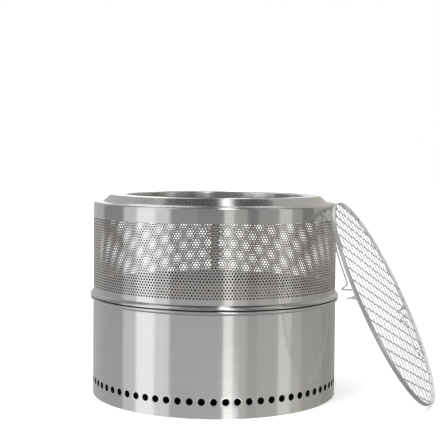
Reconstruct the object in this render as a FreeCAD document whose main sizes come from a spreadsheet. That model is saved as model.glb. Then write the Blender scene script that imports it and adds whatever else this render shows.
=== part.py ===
import FreeCAD, Part
import Sketcher
import math
import os

# Smokeless fire pit with a lift-off upper section, an ash pan and a cooking grate.
# Millimetres, +Z up, origin at the centre of the base, front of the pit towards -Y.

Vector = FreeCAD.Vector
doc = FreeCAD.newDocument("FirePit")
sheet = doc.addObject("Spreadsheet::Sheet", "Sizes")
UP = Vector(0, 0, 1)

# Driving dimensions in millimetres, each under the alias of its cell on the sheet
SIZES = {
    # Sheet and fits
    "wall": 0.8,  # thickness of the pressed steel sheets
    "weld_gap": 0.05,  # gap between pieces welded to each other
    "rest_gap": 0.3,  # gap between a loose piece and its seat
    "overrun": 6.0,  # how far a cutting tool runs past the sheet
    # Drum
    "drum_radius": 247.5,  # outside radius of the drum wall
    "bead_start": 187.0,  # height where the drum wall starts to swell
    "bead_rise": 9.0,  # height from there to the widest part of the bead
    "bead_reach": 5.5,  # how far the bead stands out of the wall
    "bead_round": 12.0,  # radius of the swelling flank of the bead
    "bead_drop": 2.0,  # height from the widest part of the bead to the drum's inward shelf
    "shelf_round": 2.4,  # radius between bead and shelf
    "vent_radius": 6.35,  # radius of an air vent
    "vent_height": 31.2,  # height of the row of air vents
    "floor_flange": 14.0,  # height of the upturned edge of the drum floor
    # Burn chamber
    "wall_space": 29.5,  # how much slimmer the burn chamber is than the drum, in radius
    "chamber_low": 37.0,  # bottom edge of the burn chamber wall
    "chamber_set": 6.0,  # how far the chamber wall ends below the drum's shelf
    "chamber_flange": 8.8,  # height of the chamber floor with its down-turned edge
    "foot_ring_radius": 140.0,  # outside radius of the ring under the chamber floor
    "foot_ring_wall": 1.2,  # thickness of the ring under the chamber floor
    "low_air_radius": 5.0,  # radius of a lower air hole
    "low_air_rise": 16.2,  # height of the lower air holes over the chamber floor
    "high_air_radius": 4.0,  # radius of an upper air hole
    "high_air_drop": 16.0,  # depth of the upper air holes under the wall's top edge
    "ledge_rise": 34.2,  # height over the chamber floor of the ledge for the burn plate
    "ledge_width": 16.0,  # width of that ledge
    "ledge_drop": 10.0,  # height of the ledge's welded leg
    "collar_inset": 9.5,  # how much slimmer the locating collar is than the drum, in radius
    "collar_rise": 8.0,  # how far the locating collar stands over the drum's shelf
    # Spacers between the walls
    "spacer_low": 104.0,  # height of the lower leg of a spacer
    "spacer_leg": 14.0,  # length of each leg of a spacer
    "spacer_width": 16.0,  # width of a spacer
    "spacer_sheet": 1.2,  # thickness of a spacer
    "rivet_radius": 2.0,  # radius of a rivet head
    "rivet_head": 1.0,  # height of a rivet head
    # Upper section
    "seam_gap": 1.0,  # shadow gap between drum and upper section
    "shell_inset": 0.5,  # how much slimmer the upper shell is than the drum
    "skirt_rise": 9.0,  # height of the skirt under the shell wall
    "skirt_round": 12.0,  # radius of the skirt's flank
    "skirt_edge": 1.6,  # height of the skirt's straight edge
    "shell_height": 173.5,  # height of the shell wall over its skirt
    "mesh_radius": 10.0,  # radius of a hole in the perforated band
    "mesh_rise": 25.2,  # height of the lowest row of holes over the skirt
    "mesh_margin": 40.3,  # depth of the highest row of holes under the shell's top edge
    "seat_leg": 11.0,  # height of the seat hoop
    "seat_inset": 2.2,  # play between seat hoop and collar
    "strip_width": 16.0,  # width of the strip behind the shell's seam
    "strip_margin": 3.0,  # gap between the strip and the hoops above and below it
    # Flame ring
    "ring_edge": 0.5,  # height of the flame ring's upright edge over the shell
    "ring_corner_round": 2.0,  # radius between that edge and the brim
    "ring_skirt": 13.0,  # length of the ring's skirt inside the shell
    "brim_width": 18.5,  # width of the brim from the edge to the foot of the slope
    "brim_rise": 3.6,  # height that the brim gains on that width
    "slope_run": 13.5,  # width of the slope
    "slope_rise": 12.6,  # height of the slope
    "crown_rise": 1.3,  # height from the head of the slope to the flat top
    "ring_round": 3.0,  # radius between the slope and the flat top
    "top_width": 30.0,  # width of the flat top between its two rounds and the opening
    "lip_length": 14.0,  # length of the lip that turns down into the opening
    "lip_round": 2.5,  # radius between the flat top and the lip
    # Ash pan and burn plate
    "pan_play": 5.15,  # gap between the ash pan and the ledge it is lifted through
    "pan_wall": 1.0,  # thickness of the ash pan
    "pan_edge": 3.0,  # width of the ash pan's turned-in edge
    "plate_play": 5.2,  # gap between the burn plate and the chamber wall
    "plate_wall": 1.5,  # thickness of the burn plate
    "plate_hole": 5.0,  # radius of a hole in the burn plate
    "finger_radius": 15.0,  # radius of the finger hole in the burn plate
    "bail_wire": 2.5,  # radius of the ash pan's bail wire
    "bail_half": 62.0,  # half the distance between the bail's eyes
    "bail_reach": 84.0,  # length of the bail from its axis
    "bail_height": 7.0,  # height of the bail's axis over the pan floor
    "bail_bend": 16.0,  # radius of the bail's corners
    "eye_bend": 4.0,  # radius where the bail turns out into its lugs
    "lug_sheet": 2.0,  # thickness of a bail lug
    "lug_width": 18.0,  # width of a bail lug
    "lug_height": 13.0,  # height of a bail lug
    "lug_foot": 14.0,  # length of a lug's riveted foot
    "pin_play": 0.08,  # radial clearance of the bail in its lugs
    "pin_end": 3.0,  # how far the bail's ends stand out of the lugs
    # Cooking grate
    "grate_radius": 216.0,  # outside radius of the grate's hoop
    "hoop_height": 8.0,  # height of the hoop
    "hoop_wall": 2.0,  # thickness of the hoop
    "wire_radius": 1.2,  # radius of a grate wire
    "wire_pitch": 25.4,  # distance between grate wires
    "foot_wire": 1.5,  # radius of a locating foot's wire
    "foot_inset": 17.0,  # how far inside the hoop a locating foot runs
    "foot_track_drop": 12.0,  # depth of a foot's long run under the grate
    "foot_point": 13.5,  # how far a foot's tip reaches below that run
    "foot_bend": 5.0,  # radius of the bends in a locating foot
    "tab_width": 9.0,  # width of the pointed tab beside a foot
    "tab_sheet": 1.5,  # thickness of the pointed tab
    "grate_aside": 24.0,  # how far the grate leans beside the pit's middle
}

# How many of each, on the same sheet
COUNTS = {
    "vent_count": 70,  # number of air vents
    "low_air_count": 24,  # number of lower air holes
    "high_air_count": 48,  # number of upper air holes
    "spacer_count": 6,  # number of wall spacers
    "mesh_count": 48,  # holes in one row of the perforated band
    "plate_hole_count": 16,  # holes in one ring of the burn plate
    "mesh_rows": 5,  # rows of holes in the perforated band
}

# Angles in degrees: how the grate leans, how its wires lie in it, how far round it
# a locating foot starts, then rises to its track, runs, drops to its tip and comes back,
# and how far past it the pointed tab stands and leans back
LEAN = 26.5
LEAN_TOWARDS = -17.6
LONG_WIRE_TURN = -21.0
FOOT_START = 135.0
FOOT_LEAD = 4.0
FOOT_RUN = 21.2
FOOT_DROP = 1.6
FOOT_RETURN = 3.2
TAB_STEP = 4.2
TAB_LEAN = 2.2


class Size:
    """A number that also knows how it is written as an expression on the sheet."""

    def __init__(self, value, text):
        self.value = value
        self.text = text

    def __add__(self, other):
        other = as_size(other)
        return Size(self.value + other.value, f"({self.text} + {other.text})")

    def __sub__(self, other):
        other = as_size(other)
        return Size(self.value - other.value, f"({self.text} - {other.text})")

    def __mul__(self, other):
        other = as_size(other)
        return Size(self.value * other.value, f"({self.text} * {other.text})")

    def __truediv__(self, other):
        other = as_size(other)
        return Size(self.value / other.value, f"({self.text} / {other.text})")

    def __neg__(self):
        return Size(-self.value, f"(-1 * {self.text})")


def as_size(number):
    """Take a plain share or count as a Size."""
    return number if isinstance(number, Size) else Size(number, repr(number))


def root(size):
    """Square root of a Size."""
    return Size(math.sqrt(size.value), f"sqrt({size.text})")


class NamedSizes:
    """The driving dimensions and counts as Sizes, one attribute for each alias."""


sizes = NamedSizes()
for row, (alias, value) in enumerate({**SIZES, **COUNTS}.items(), 1):
    sheet.set(f"A{row}", alias)
    sheet.set(f"B{row}", str(value))
    sheet.setAlias(f"B{row}", alias)
    setattr(sizes, alias, Size(value, f"Sizes.{alias}"))

ZERO = Size(0, "0")

# Places that follow from the driving dimensions
bead_widest = sizes.bead_start + sizes.bead_rise
shelf_height = bead_widest + sizes.bead_drop
chamber_radius = sizes.drum_radius - sizes.wall_space
chamber_top = shelf_height - sizes.chamber_set
chamber_floor_top = sizes.chamber_low + sizes.chamber_flange
ledge_top = chamber_floor_top + sizes.ledge_rise
chamber_weld = chamber_radius - sizes.wall - sizes.weld_gap
collar_radius = sizes.drum_radius - sizes.collar_inset
shell_radius = sizes.drum_radius - sizes.shell_inset
shell_weld = shell_radius - sizes.wall - sizes.weld_gap
shell_low = shelf_height + sizes.seam_gap
skirt_top = shell_low + sizes.skirt_rise
shell_top = skirt_top + sizes.shell_height
ring_corner_height = shell_top + sizes.ring_edge + sizes.ring_corner_round
slope_foot_radius = shell_radius - sizes.brim_width
slope_foot_height = ring_corner_height + sizes.brim_rise
slope_head_radius = slope_foot_radius - sizes.slope_run
slope_head_height = slope_foot_height + sizes.slope_rise
ring_top = slope_head_height + sizes.crown_rise
opening_radius = slope_head_radius - sizes.ring_round - sizes.top_width
pan_floor = chamber_floor_top + sizes.rest_gap
pan_top = ledge_top - sizes.rest_gap
pan_radius = chamber_weld - sizes.ledge_width - sizes.pan_play
plate_radius = chamber_radius - sizes.wall - sizes.plate_play
bail_axis_height = pan_floor + sizes.pan_wall + sizes.bail_height
lug_base = pan_floor + sizes.pan_wall + sizes.weld_gap
hoop_inside = sizes.grate_radius - sizes.hoop_wall
foot_seat = sizes.grate_radius - sizes.hoop_wall / 2
foot_track = foot_seat - sizes.foot_inset
foot_tip_drop = sizes.foot_track_drop + sizes.foot_point


# Sketch helpers

def origin_item(body, role):
    """The body's own plane or axis of that role."""
    return [item for item in body.Origin.OriginFeatures if item.Role == role][0]


def new_body(label):
    """An empty body that may hold several solids."""
    body = doc.addObject("PartDesign::Body", label)
    body.Label = label
    body.AllowCompound = True
    return body


def new_sketch(body, plane, name):
    """A sketch on one of the body's own planes."""
    sketch = body.newObject("Sketcher::SketchObject", name)
    sketch.AttachmentSupport = [(origin_item(body, plane), "")]
    sketch.MapMode = "FlatFace"
    return sketch


def bind(sketch, size, *constraint):
    """Add a dimension to a sketch and tie it to the sheet."""
    index = sketch.addConstraint(Sketcher.Constraint(*constraint, size.value))
    sketch.setExpression(f"Constraints[{index}]", size.text)


def pin(sketch, geometry, point, across, up):
    """Tie a point of the sketch to its place from the sketch's origin."""
    bind(sketch, across, "DistanceX", -1, 1, geometry, point)
    bind(sketch, up, "DistanceY", -1, 1, geometry, point)


def arc_between(start, end, radius):
    """The short arc between two points, turning left for a positive radius."""
    chord = end - start
    half = chord.Length / 2
    rise = math.sqrt(radius * radius - half * half)
    side = Vector(-chord.y, chord.x, 0).normalize()
    centre = (start + end) / 2 + side * math.copysign(rise, radius)
    first, last = (start, end) if radius > 0 else (end, start)
    angles = [math.atan2(point.y - centre.y, point.x - centre.x) for point in (first, last)]
    if angles[1] < angles[0]:
        angles[1] += 2 * math.pi
    return Part.ArcOfCircle(Part.Circle(centre, UP, abs(radius)), angles[0], angles[1])


def draw_outline(sketch, corners):
    """Draw a closed outline; a corner's third value is the radius of the arc that leaves it."""
    places = [Vector(corner[0].value, corner[1].value, 0) for corner in corners]
    ends = []
    for index, corner in enumerate(corners):
        start = places[index]
        end = places[(index + 1) % len(corners)]
        if len(corner) == 3:
            geometry = sketch.addGeometry(arc_between(start, end, corner[2].value), False)
            ends.append((geometry, 1, 2) if corner[2].value > 0 else (geometry, 2, 1))
        else:
            geometry = sketch.addGeometry(Part.LineSegment(start, end), False)
            ends.append((geometry, 1, 2))
    for index, corner in enumerate(corners):
        geometry, first, last = ends[index]
        following = ends[(index + 1) % len(corners)]
        sketch.addConstraint(Sketcher.Constraint("Coincident", geometry, last, following[0], following[1]))
        pin(sketch, geometry, first, corner[0], corner[1])
        if len(corner) == 3:
            radius = corner[2] if corner[2].value > 0 else -corner[2]
            bind(sketch, radius, "Radius", geometry)


def turned(label, corners):
    """A body turned about the upright axis from its half section."""
    body = new_body(label)
    sketch = new_sketch(body, "XZ_Plane", label + "_section")
    draw_outline(sketch, corners)
    turn = body.newObject("PartDesign::Revolution", label + "_turn")
    turn.Profile = sketch
    turn.ReferenceAxis = (sketch, ["V_Axis"])
    turn.Angle = 360
    body.Tip = turn
    doc.recompute()
    return body


def draw_circle(sketch, across, up, radius):
    """Draw one circle with its centre and radius tied to the sheet."""
    circle = Part.Circle(Vector(across.value, up.value, 0), UP, radius.value)
    geometry = sketch.addGeometry(circle, False)
    pin(sketch, geometry, 3, across, up)
    bind(sketch, radius, "Radius", geometry)


def repeat_round(body, feature, count):
    """Repeat a feature round the upright axis."""
    pattern = body.newObject("PartDesign::PolarPattern", feature.Name + "_ring")
    pattern.Originals = [feature]
    pattern.Axis = (origin_item(body, "Z_Axis"), [""])
    pattern.Angle = 360
    pattern.Occurrences = int(count.value)
    pattern.setExpression("Occurrences", count.text)
    body.Tip = pattern
    doc.recompute()


def show(label, shape):
    """Keep a finished shape under its own label."""
    feature = doc.addObject("Part::Feature", label)
    feature.Label = label
    feature.Shape = shape
    return feature


def drilled(label, blank, drills):
    """Cut a group of drills out of a blank and check that they cut."""
    tool = show(label + "_drills", Part.makeCompound(drills))
    cut = doc.addObject("Part::Cut", label)
    cut.Base = blank
    cut.Tool = tool
    cut.Label = label
    doc.recompute()
    assert cut.Shape.Volume < blank.Shape.Volume, label + " has no holes"
    return cut


def wall_drills(height, radius, depth, count, turn_share=0.0):
    """Drills that stand round the upright axis and point outwards, the first towards the front."""
    drills = []
    for index in range(count.value):
        angle = 2 * math.pi * (index + turn_share) / count.value
        away = Vector(math.sin(angle), -math.cos(angle), 0)
        start = away * (depth - sizes.overrun).value + UP * height.value
        drills.append(Part.makeCylinder(radius.value, 2 * sizes.overrun.value, start, away))
    return drills


def plate_drills(height, reach, radius, count):
    """Upright drills in a ring round the middle of a plate."""
    drills = []
    for index in range(count.value):
        angle = 2 * math.pi * index / count.value
        start = Vector(math.sin(angle), -math.cos(angle), 0) * reach.value
        start.z = (height - sizes.overrun).value
        drills.append(Part.makeCylinder(radius.value, 2 * sizes.overrun.value, start))
    return drills


# Lower section: the drum and what is welded into it

def make_outer_drum():
    """Outer wall with its bead, its inward shelf and the row of air vents."""
    inside = sizes.drum_radius - sizes.wall
    bead = sizes.drum_radius + sizes.bead_reach
    shelf_under = shelf_height - sizes.wall
    shelf_end = collar_radius + sizes.weld_gap
    blank = turned("drum_blank", [
        (sizes.drum_radius, ZERO),
        (sizes.drum_radius, sizes.bead_start, sizes.bead_round),
        (bead, bead_widest, sizes.shelf_round),
        (bead - sizes.shelf_round, shelf_height),
        (shelf_end, shelf_height),
        (shelf_end, shelf_under),
        (bead - sizes.shelf_round, shelf_under, -sizes.shelf_round),
        (bead - sizes.wall, bead_widest - sizes.wall, -sizes.bead_round),
        (inside, sizes.bead_start),
        (inside, ZERO)])
    vents = wall_drills(sizes.vent_height, sizes.vent_radius, sizes.drum_radius, sizes.vent_count)
    return drilled("outer_drum", blank, vents)


def make_drum_floor():
    """Bottom pan that closes the drum, with its edge turned up against the wall."""
    edge = sizes.drum_radius - sizes.wall - sizes.weld_gap
    return turned("drum_floor", [
        (ZERO, ZERO),
        (edge, ZERO),
        (edge, sizes.floor_flange),
        (edge - sizes.wall, sizes.floor_flange),
        (edge - sizes.wall, sizes.wall),
        (ZERO, sizes.wall)])


def make_support_ring():
    """Upright ring that carries the chamber floor over the drum floor."""
    low = sizes.wall + sizes.weld_gap
    high = chamber_floor_top - sizes.wall - sizes.weld_gap
    return turned("support_ring", [
        (sizes.foot_ring_radius, low),
        (sizes.foot_ring_radius, high),
        (sizes.foot_ring_radius - sizes.foot_ring_wall, high),
        (sizes.foot_ring_radius - sizes.foot_ring_wall, low)])


def make_chamber_floor():
    """Floor of the burn chamber, with its edge turned down against the chamber wall."""
    inside = chamber_weld - sizes.wall
    return turned("chamber_floor", [
        (ZERO, chamber_floor_top - sizes.wall),
        (inside, chamber_floor_top - sizes.wall),
        (inside, sizes.chamber_low),
        (chamber_weld, sizes.chamber_low),
        (chamber_weld, chamber_floor_top),
        (ZERO, chamber_floor_top)])


def make_burn_chamber():
    """Inner wall with a lower ring of air holes and an upper one for the second burn."""
    blank = turned("chamber_blank", [
        (chamber_radius, sizes.chamber_low),
        (chamber_radius, chamber_top),
        (chamber_radius - sizes.wall, chamber_top),
        (chamber_radius - sizes.wall, sizes.chamber_low)])
    low = chamber_floor_top + sizes.low_air_rise
    high = chamber_top - sizes.high_air_drop
    drills = wall_drills(low, sizes.low_air_radius, chamber_radius, sizes.low_air_count)
    drills += wall_drills(high, sizes.high_air_radius, chamber_radius, sizes.high_air_count)
    return drilled("burn_chamber_wall", blank, drills)


def make_fire_ledge():
    """Angle ring inside the chamber that carries the burn plate."""
    edge = chamber_weld - sizes.ledge_width
    return turned("fire_ledge", [
        (chamber_weld, ledge_top - sizes.ledge_drop),
        (chamber_weld, ledge_top),
        (edge, ledge_top),
        (edge, ledge_top - sizes.wall),
        (chamber_weld - sizes.wall, ledge_top - sizes.wall),
        (chamber_weld - sizes.wall, ledge_top - sizes.ledge_drop)])


def make_locating_collar():
    """Pressed ring that closes the space between the walls and centres the upper section."""
    low = chamber_top + sizes.weld_gap
    high = shelf_height + sizes.collar_rise
    inner = chamber_radius - sizes.wall
    return turned("locating_collar", [
        (inner, low),
        (collar_radius, low),
        (collar_radius, high),
        (collar_radius - sizes.wall, high),
        (collar_radius - sizes.wall, low + sizes.wall),
        (inner, low + sizes.wall)])


def make_wall_spacers():
    """Z-shaped strips that hold the two walls apart."""
    body = new_body("wall_spacers")
    sketch = new_sketch(body, "XZ_Plane", "spacer_section")
    inner = chamber_radius + sizes.weld_gap
    half = sizes.spacer_width / 2
    inside = sizes.drum_radius - sizes.wall
    outer = root(inside * inside - half * half) - sizes.weld_gap
    step = sizes.spacer_low + sizes.spacer_leg
    draw_outline(sketch, [
        (inner, sizes.spacer_low),
        (inner + sizes.spacer_sheet, sizes.spacer_low),
        (inner + sizes.spacer_sheet, step - sizes.spacer_sheet),
        (outer, step - sizes.spacer_sheet),
        (outer, step + sizes.spacer_leg),
        (outer - sizes.spacer_sheet, step + sizes.spacer_leg),
        (outer - sizes.spacer_sheet, step),
        (inner, step)])
    pad = body.newObject("PartDesign::Pad", "spacer_strip")
    pad.Profile = sketch
    pad.setExpression("Length", sizes.spacer_width.text)
    pad.Length = sizes.spacer_width.value
    pad.SideType = "Symmetric"
    body.Tip = pad
    doc.recompute()
    repeat_round(body, pad, sizes.spacer_count)
    return body


# Upper section: the perforated shell and the ring on it

def make_perforated_shell():
    """Perforated wall with the skirt that swells out over the drum's bead."""
    inside = shell_radius - sizes.wall
    skirt = sizes.drum_radius + sizes.bead_reach
    edge_top = shell_low + sizes.skirt_edge
    blank = turned("shell_blank", [
        (skirt, shell_low),
        (skirt, edge_top, sizes.skirt_round),
        (shell_radius, skirt_top),
        (shell_radius, shell_top),
        (inside, shell_top),
        (inside, skirt_top, -sizes.skirt_round),
        (skirt - sizes.wall, edge_top),
        (skirt - sizes.wall, shell_low)])
    pitch = (sizes.shell_height - sizes.mesh_rise - sizes.mesh_margin) / (sizes.mesh_rows - 1)
    drills = []
    for row in range(sizes.mesh_rows.value):
        height = skirt_top + sizes.mesh_rise + pitch * row
        drills += wall_drills(height, sizes.mesh_radius, shell_radius, sizes.mesh_count, (row % 2) / 2)
    return drilled("perforated_shell", blank, drills)


def make_seat_hoop():
    """Angle ring inside the skirt that rests on the drum's shelf."""
    edge = collar_radius + sizes.seat_inset
    inside = shell_weld - sizes.wall
    low = shelf_height + sizes.rest_gap
    foot_top = low + sizes.wall
    return turned("seat_hoop", [
        (edge, low),
        (shell_weld, low),
        (shell_weld, foot_top + sizes.seat_leg),
        (inside, foot_top + sizes.seat_leg),
        (inside, foot_top),
        (edge, foot_top)])


def make_flame_ring():
    """Pressed ring on top: outer corner, slope, flat top and the lip round the opening."""
    low = shell_top + sizes.weld_gap
    corner = shell_radius - sizes.ring_corner_round
    inner_corner = sizes.ring_corner_round - sizes.wall
    crown = slope_head_radius - sizes.ring_round
    lip_low = ring_top - sizes.lip_length
    return turned("flame_ring", [
        (shell_weld, shell_top - sizes.ring_skirt),
        (shell_weld, low),
        (shell_radius, low),
        (shell_radius, ring_corner_height - sizes.ring_corner_round, sizes.ring_corner_round),
        (corner, ring_corner_height),
        (slope_foot_radius, slope_foot_height),
        (slope_head_radius, slope_head_height, sizes.ring_round),
        (crown, ring_top),
        (opening_radius + sizes.lip_round, ring_top, sizes.lip_round),
        (opening_radius, ring_top - sizes.lip_round),
        (opening_radius, lip_low),
        (opening_radius + sizes.wall, lip_low),
        (opening_radius + sizes.wall, ring_top - sizes.lip_round - sizes.wall),
        (opening_radius + sizes.lip_round, ring_top - sizes.wall),
        (crown, ring_top - sizes.wall),
        (slope_head_radius - sizes.wall, slope_head_height - sizes.wall),
        (slope_foot_radius, slope_foot_height - sizes.wall),
        (corner, ring_corner_height - sizes.wall),
        (shell_weld - sizes.wall, ring_corner_height - sizes.wall - inner_corner),
        (shell_weld - sizes.wall, shell_top - sizes.ring_skirt)])


def make_seam_strip():
    """Strip behind the upright seam of the rolled shell, at the back."""
    inside = shell_weld - sizes.wall
    low = shelf_height + sizes.rest_gap + sizes.wall + sizes.seat_leg + sizes.strip_margin
    high = shell_top - sizes.ring_skirt - sizes.strip_margin
    half = sizes.strip_width / 2
    body = new_body("shell_seam_strip")
    sketch = new_sketch(body, "XY_Plane", "strip_section")
    edge = root(shell_weld * shell_weld - half * half)
    inner_edge = root(inside * inside - half * half)
    draw_outline(sketch, [
        (half, edge, shell_weld),
        (-half, edge),
        (-half, inner_edge, -inside),
        (half, inner_edge)])
    sketch.setExpression("AttachmentOffset.Base.z", low.text)
    pad = body.newObject("PartDesign::Pad", "strip_length")
    pad.Profile = sketch
    pad.setExpression("Length", (high - low).text)
    pad.Length = high.value - low.value
    body.Tip = pad
    doc.recompute()
    return body


# Ash pan, its bail and the burn plate over it

def make_ash_pan():
    """Shallow pan that stands on the chamber floor under the burn plate."""
    return turned("ash_pan", [
        (ZERO, pan_floor),
        (pan_radius, pan_floor),
        (pan_radius, pan_top),
        (pan_radius - sizes.pan_edge, pan_top),
        (pan_radius - sizes.pan_edge, pan_top - sizes.pan_wall),
        (pan_radius - sizes.pan_wall, pan_top - sizes.pan_wall),
        (pan_radius - sizes.pan_wall, pan_floor + sizes.pan_wall),
        (ZERO, pan_floor + sizes.pan_wall)])


def make_burn_plate():
    """Flat plate with rings of holes, lifted out by its finger hole."""
    low = ledge_top + sizes.rest_gap
    blank = turned("plate_blank", [
        (sizes.finger_radius, low),
        (plate_radius, low),
        (plate_radius, low + sizes.plate_wall),
        (sizes.finger_radius, low + sizes.plate_wall)])
    ring_shares = (0.25, 0.45, 0.65, 0.85)
    drills = []
    for share in ring_shares:
        drills += plate_drills(low, plate_radius * share, sizes.plate_hole, sizes.plate_hole_count)
    return drilled("burn_plate", blank, drills)


def make_bail_lugs():
    """Two upright ears that hold the ends of the bail, each with a riveted foot."""
    body = new_body("bail_lugs")
    sketch = new_sketch(body, "XZ_Plane", "lug_section")
    for side in (1, -1):
        inner = (sizes.bail_half - sizes.lug_sheet / 2) * side
        outer = (sizes.bail_half + sizes.lug_sheet / 2) * side
        foot = (sizes.bail_half + sizes.lug_foot) * side
        corners = [
            (inner, lug_base),
            (foot, lug_base),
            (foot, lug_base + sizes.lug_sheet),
            (outer, lug_base + sizes.lug_sheet),
            (outer, lug_base + sizes.lug_height),
            (inner, lug_base + sizes.lug_height)]
        draw_outline(sketch, corners)
    pad = body.newObject("PartDesign::Pad", "lug_strip")
    pad.Profile = sketch
    pad.setExpression("Length", sizes.lug_width.text)
    pad.Length = sizes.lug_width.value
    pad.SideType = "Symmetric"
    body.Tip = pad
    doc.recompute()
    before = body.Shape.Volume
    eyes = new_sketch(body, "YZ_Plane", "eye_sketch")
    draw_circle(eyes, ZERO, bail_axis_height, sizes.bail_wire + sizes.pin_play)
    bore = body.newObject("PartDesign::Pocket", "eyes")
    bore.Profile = eyes
    bore.Type = "ThroughAll"
    bore.SideType = "Symmetric"
    body.Tip = bore
    doc.recompute()
    assert body.Shape.Volume < before, "eyes cut nothing"
    return body


# Pieces bent from wire, made from the same sizes with solids of revolution and tubes

def bent_path(points, bends):
    """A wire of straight runs between the points, with a tangent arc at each corner."""
    edges = []
    last = points[0]
    for before, corner, after, bend in zip(points, points[1:], points[2:], bends):
        into = (corner - before).normalize()
        away = (after - corner).normalize()
        half_turn = into.getAngle(away) / 2
        setback = bend * math.tan(half_turn)
        start = corner - into * setback
        end = corner + away * setback
        middle = corner + (away - into).normalize() * (bend / math.cos(half_turn) - bend)
        edges.append(Part.LineSegment(last, start).toShape())
        edges.append(Part.Arc(start, middle, end).toShape())
        last = end
    edges.append(Part.LineSegment(last, points[-1]).toShape())
    return Part.Wire(edges)


def bent_wire(points, bends, radius):
    """A round wire swept along a bent path."""
    section = Part.Wire(Part.makeCircle(radius, points[0], points[1] - points[0]))
    return bent_path(points, bends).makePipeShell([section], True, True)


def make_bail():
    """Wire handle of the ash pan, folded flat, with its ends turned out through the lugs."""
    end = sizes.bail_half.value + sizes.lug_sheet.value / 2 + sizes.pin_end.value
    inside = sizes.bail_half.value - sizes.lug_sheet.value / 2 - sizes.eye_bend.value - sizes.rest_gap.value
    reach = sizes.bail_reach.value
    height = bail_axis_height.value
    places = [(-end, 0), (-inside, 0), (-inside, -reach), (inside, -reach), (inside, 0), (end, 0)]
    points = [Vector(across, along, height) for across, along in places]
    bends = [sizes.eye_bend.value, sizes.bail_bend.value, sizes.bail_bend.value, sizes.eye_bend.value]
    return show("pan_bail", bent_wire(points, bends, sizes.bail_wire.value))


def rivet(base, away):
    """One rivet head that stands on its base."""
    radius = sizes.rivet_radius.value
    return Part.makeCone(radius, radius / 2, sizes.rivet_head.value, base, away)


def make_lug_rivets():
    """Rivets that hold the feet of the bail lugs to the pan."""
    heads = []
    along_share = 0.28
    for side in (1, -1):
        for end in (1, -1):
            across = side * (sizes.bail_half.value + (sizes.lug_sheet.value / 2 + sizes.lug_foot.value) / 2)
            along = end * sizes.lug_width.value * along_share
            base = Vector(across, along, (lug_base + sizes.lug_sheet).value)
            heads.append(rivet(base, UP))
    return show("lug_rivets", Part.makeCompound(heads))


def make_spacer_rivets():
    """Rivets that hold the wall spacers to the chamber wall, one below each step."""
    heads = []
    for index in range(sizes.spacer_count.value):
        angle = 2 * math.pi * index / sizes.spacer_count.value
        away = Vector(math.cos(angle), math.sin(angle), 0)
        base = away * (chamber_radius + sizes.weld_gap + sizes.spacer_sheet).value
        base.z = (sizes.spacer_low + (sizes.spacer_leg - sizes.spacer_sheet) / 2).value
        heads.append(rivet(base, away))
    return show("spacer_rivets", Part.makeCompound(heads))


# Cooking grate, made flat about its own middle and then leant against the pit

def on_grate(radius, degrees, height):
    """A point of the flat grate."""
    angle = math.radians(degrees)
    return Vector(radius * math.cos(angle), radius * math.sin(angle), height)


def grate_placement():
    """Where the grate stands: its lowest edge on the ground, its hoop against the flame ring."""
    lean = math.radians(LEAN)
    towards = math.radians(LEAN_TOWARDS)
    outward = Vector(math.cos(towards), math.sin(towards), 0)
    sideways = Vector(-math.sin(towards), math.cos(towards), 0)
    face = outward * math.cos(lean) + UP * math.sin(lean)
    upslope = face.cross(sideways)
    half = sizes.hoop_height.value / 2
    height = sizes.grate_radius.value * math.cos(lean) + half * math.sin(lean)
    corner = sizes.ring_corner_round
    reach = (shell_radius - corner).value * math.cos(lean)
    reach += (ring_corner_height - corner).value * math.sin(lean)
    reach += (corner + sizes.rest_gap).value + half
    away = (reach - height * math.sin(lean)) / math.cos(lean)
    middle = outward * away + sideways * sizes.grate_aside.value + UP * height
    turn = FreeCAD.Rotation(sideways, upslope, face, "ZXY")
    return FreeCAD.Placement(middle, turn)


def make_grate_hoop():
    """Flat-strip hoop round the grate."""
    half = sizes.hoop_height / 2
    return turned("grate_hoop", [
        (sizes.grate_radius, -half),
        (sizes.grate_radius, half),
        (hoop_inside, half),
        (hoop_inside, -half)])


def make_grate_wires(label, degrees, height):
    """One family of parallel wires across the hoop."""
    edge_share = 1 / 3
    each_side = int((hoop_inside / sizes.wire_pitch).value - edge_share)
    wires = []
    for index in range(-each_side, each_side + 1):
        edge = sizes.wire_pitch * abs(index) + sizes.wire_radius
        half = root(hoop_inside * hoop_inside - edge * edge)
        wire = doc.addObject("Part::Cylinder", f"{label}_{index + each_side}")
        wire.setExpression("Radius", sizes.wire_radius.text)
        wire.setExpression("Height", (half * 2).text)
        turn = FreeCAD.Rotation(UP, degrees)
        start = turn.multVec(Vector(-half.value, index * sizes.wire_pitch.value, height))
        along = FreeCAD.Rotation(UP, turn.multVec(Vector(1, 0, 0)))
        wire.Placement = FreeCAD.Placement(start, along)
        wires.append(wire)
    family = doc.addObject("Part::Compound", label)
    family.Label = label
    family.Links = wires
    doc.recompute()
    return family


def make_grate_feet():
    """Two bent wires under the hoop, each with a pointed end that reaches into the opening."""
    seat = foot_seat.value
    under = -(sizes.hoop_height.value / 2 + sizes.foot_wire.value + sizes.weld_gap.value)
    track = foot_track.value
    low = -sizes.foot_track_drop.value
    tip_share = 1 / 3
    tip_radius = track + (seat - track) * tip_share
    run_start = FOOT_START + FOOT_LEAD
    run_end = run_start + FOOT_RUN
    tip = run_end + FOOT_DROP
    points = [
        on_grate(seat, FOOT_START, under),
        on_grate(track, run_start, low),
        on_grate(track, (run_start + run_end) / 2, low),
        on_grate(track, run_end, low),
        on_grate(tip_radius, tip, -foot_tip_drop.value),
        on_grate(seat, tip + FOOT_RETURN, under)]
    bend = sizes.foot_bend.value
    foot = bent_wire(points, [bend, track, bend, bend / 2], sizes.foot_wire.value)
    other = foot.copy()
    other.rotate(Vector(0, 0, 0), UP, 180)
    return show("grate_locating_feet", Part.makeCompound([foot, other]))


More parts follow.
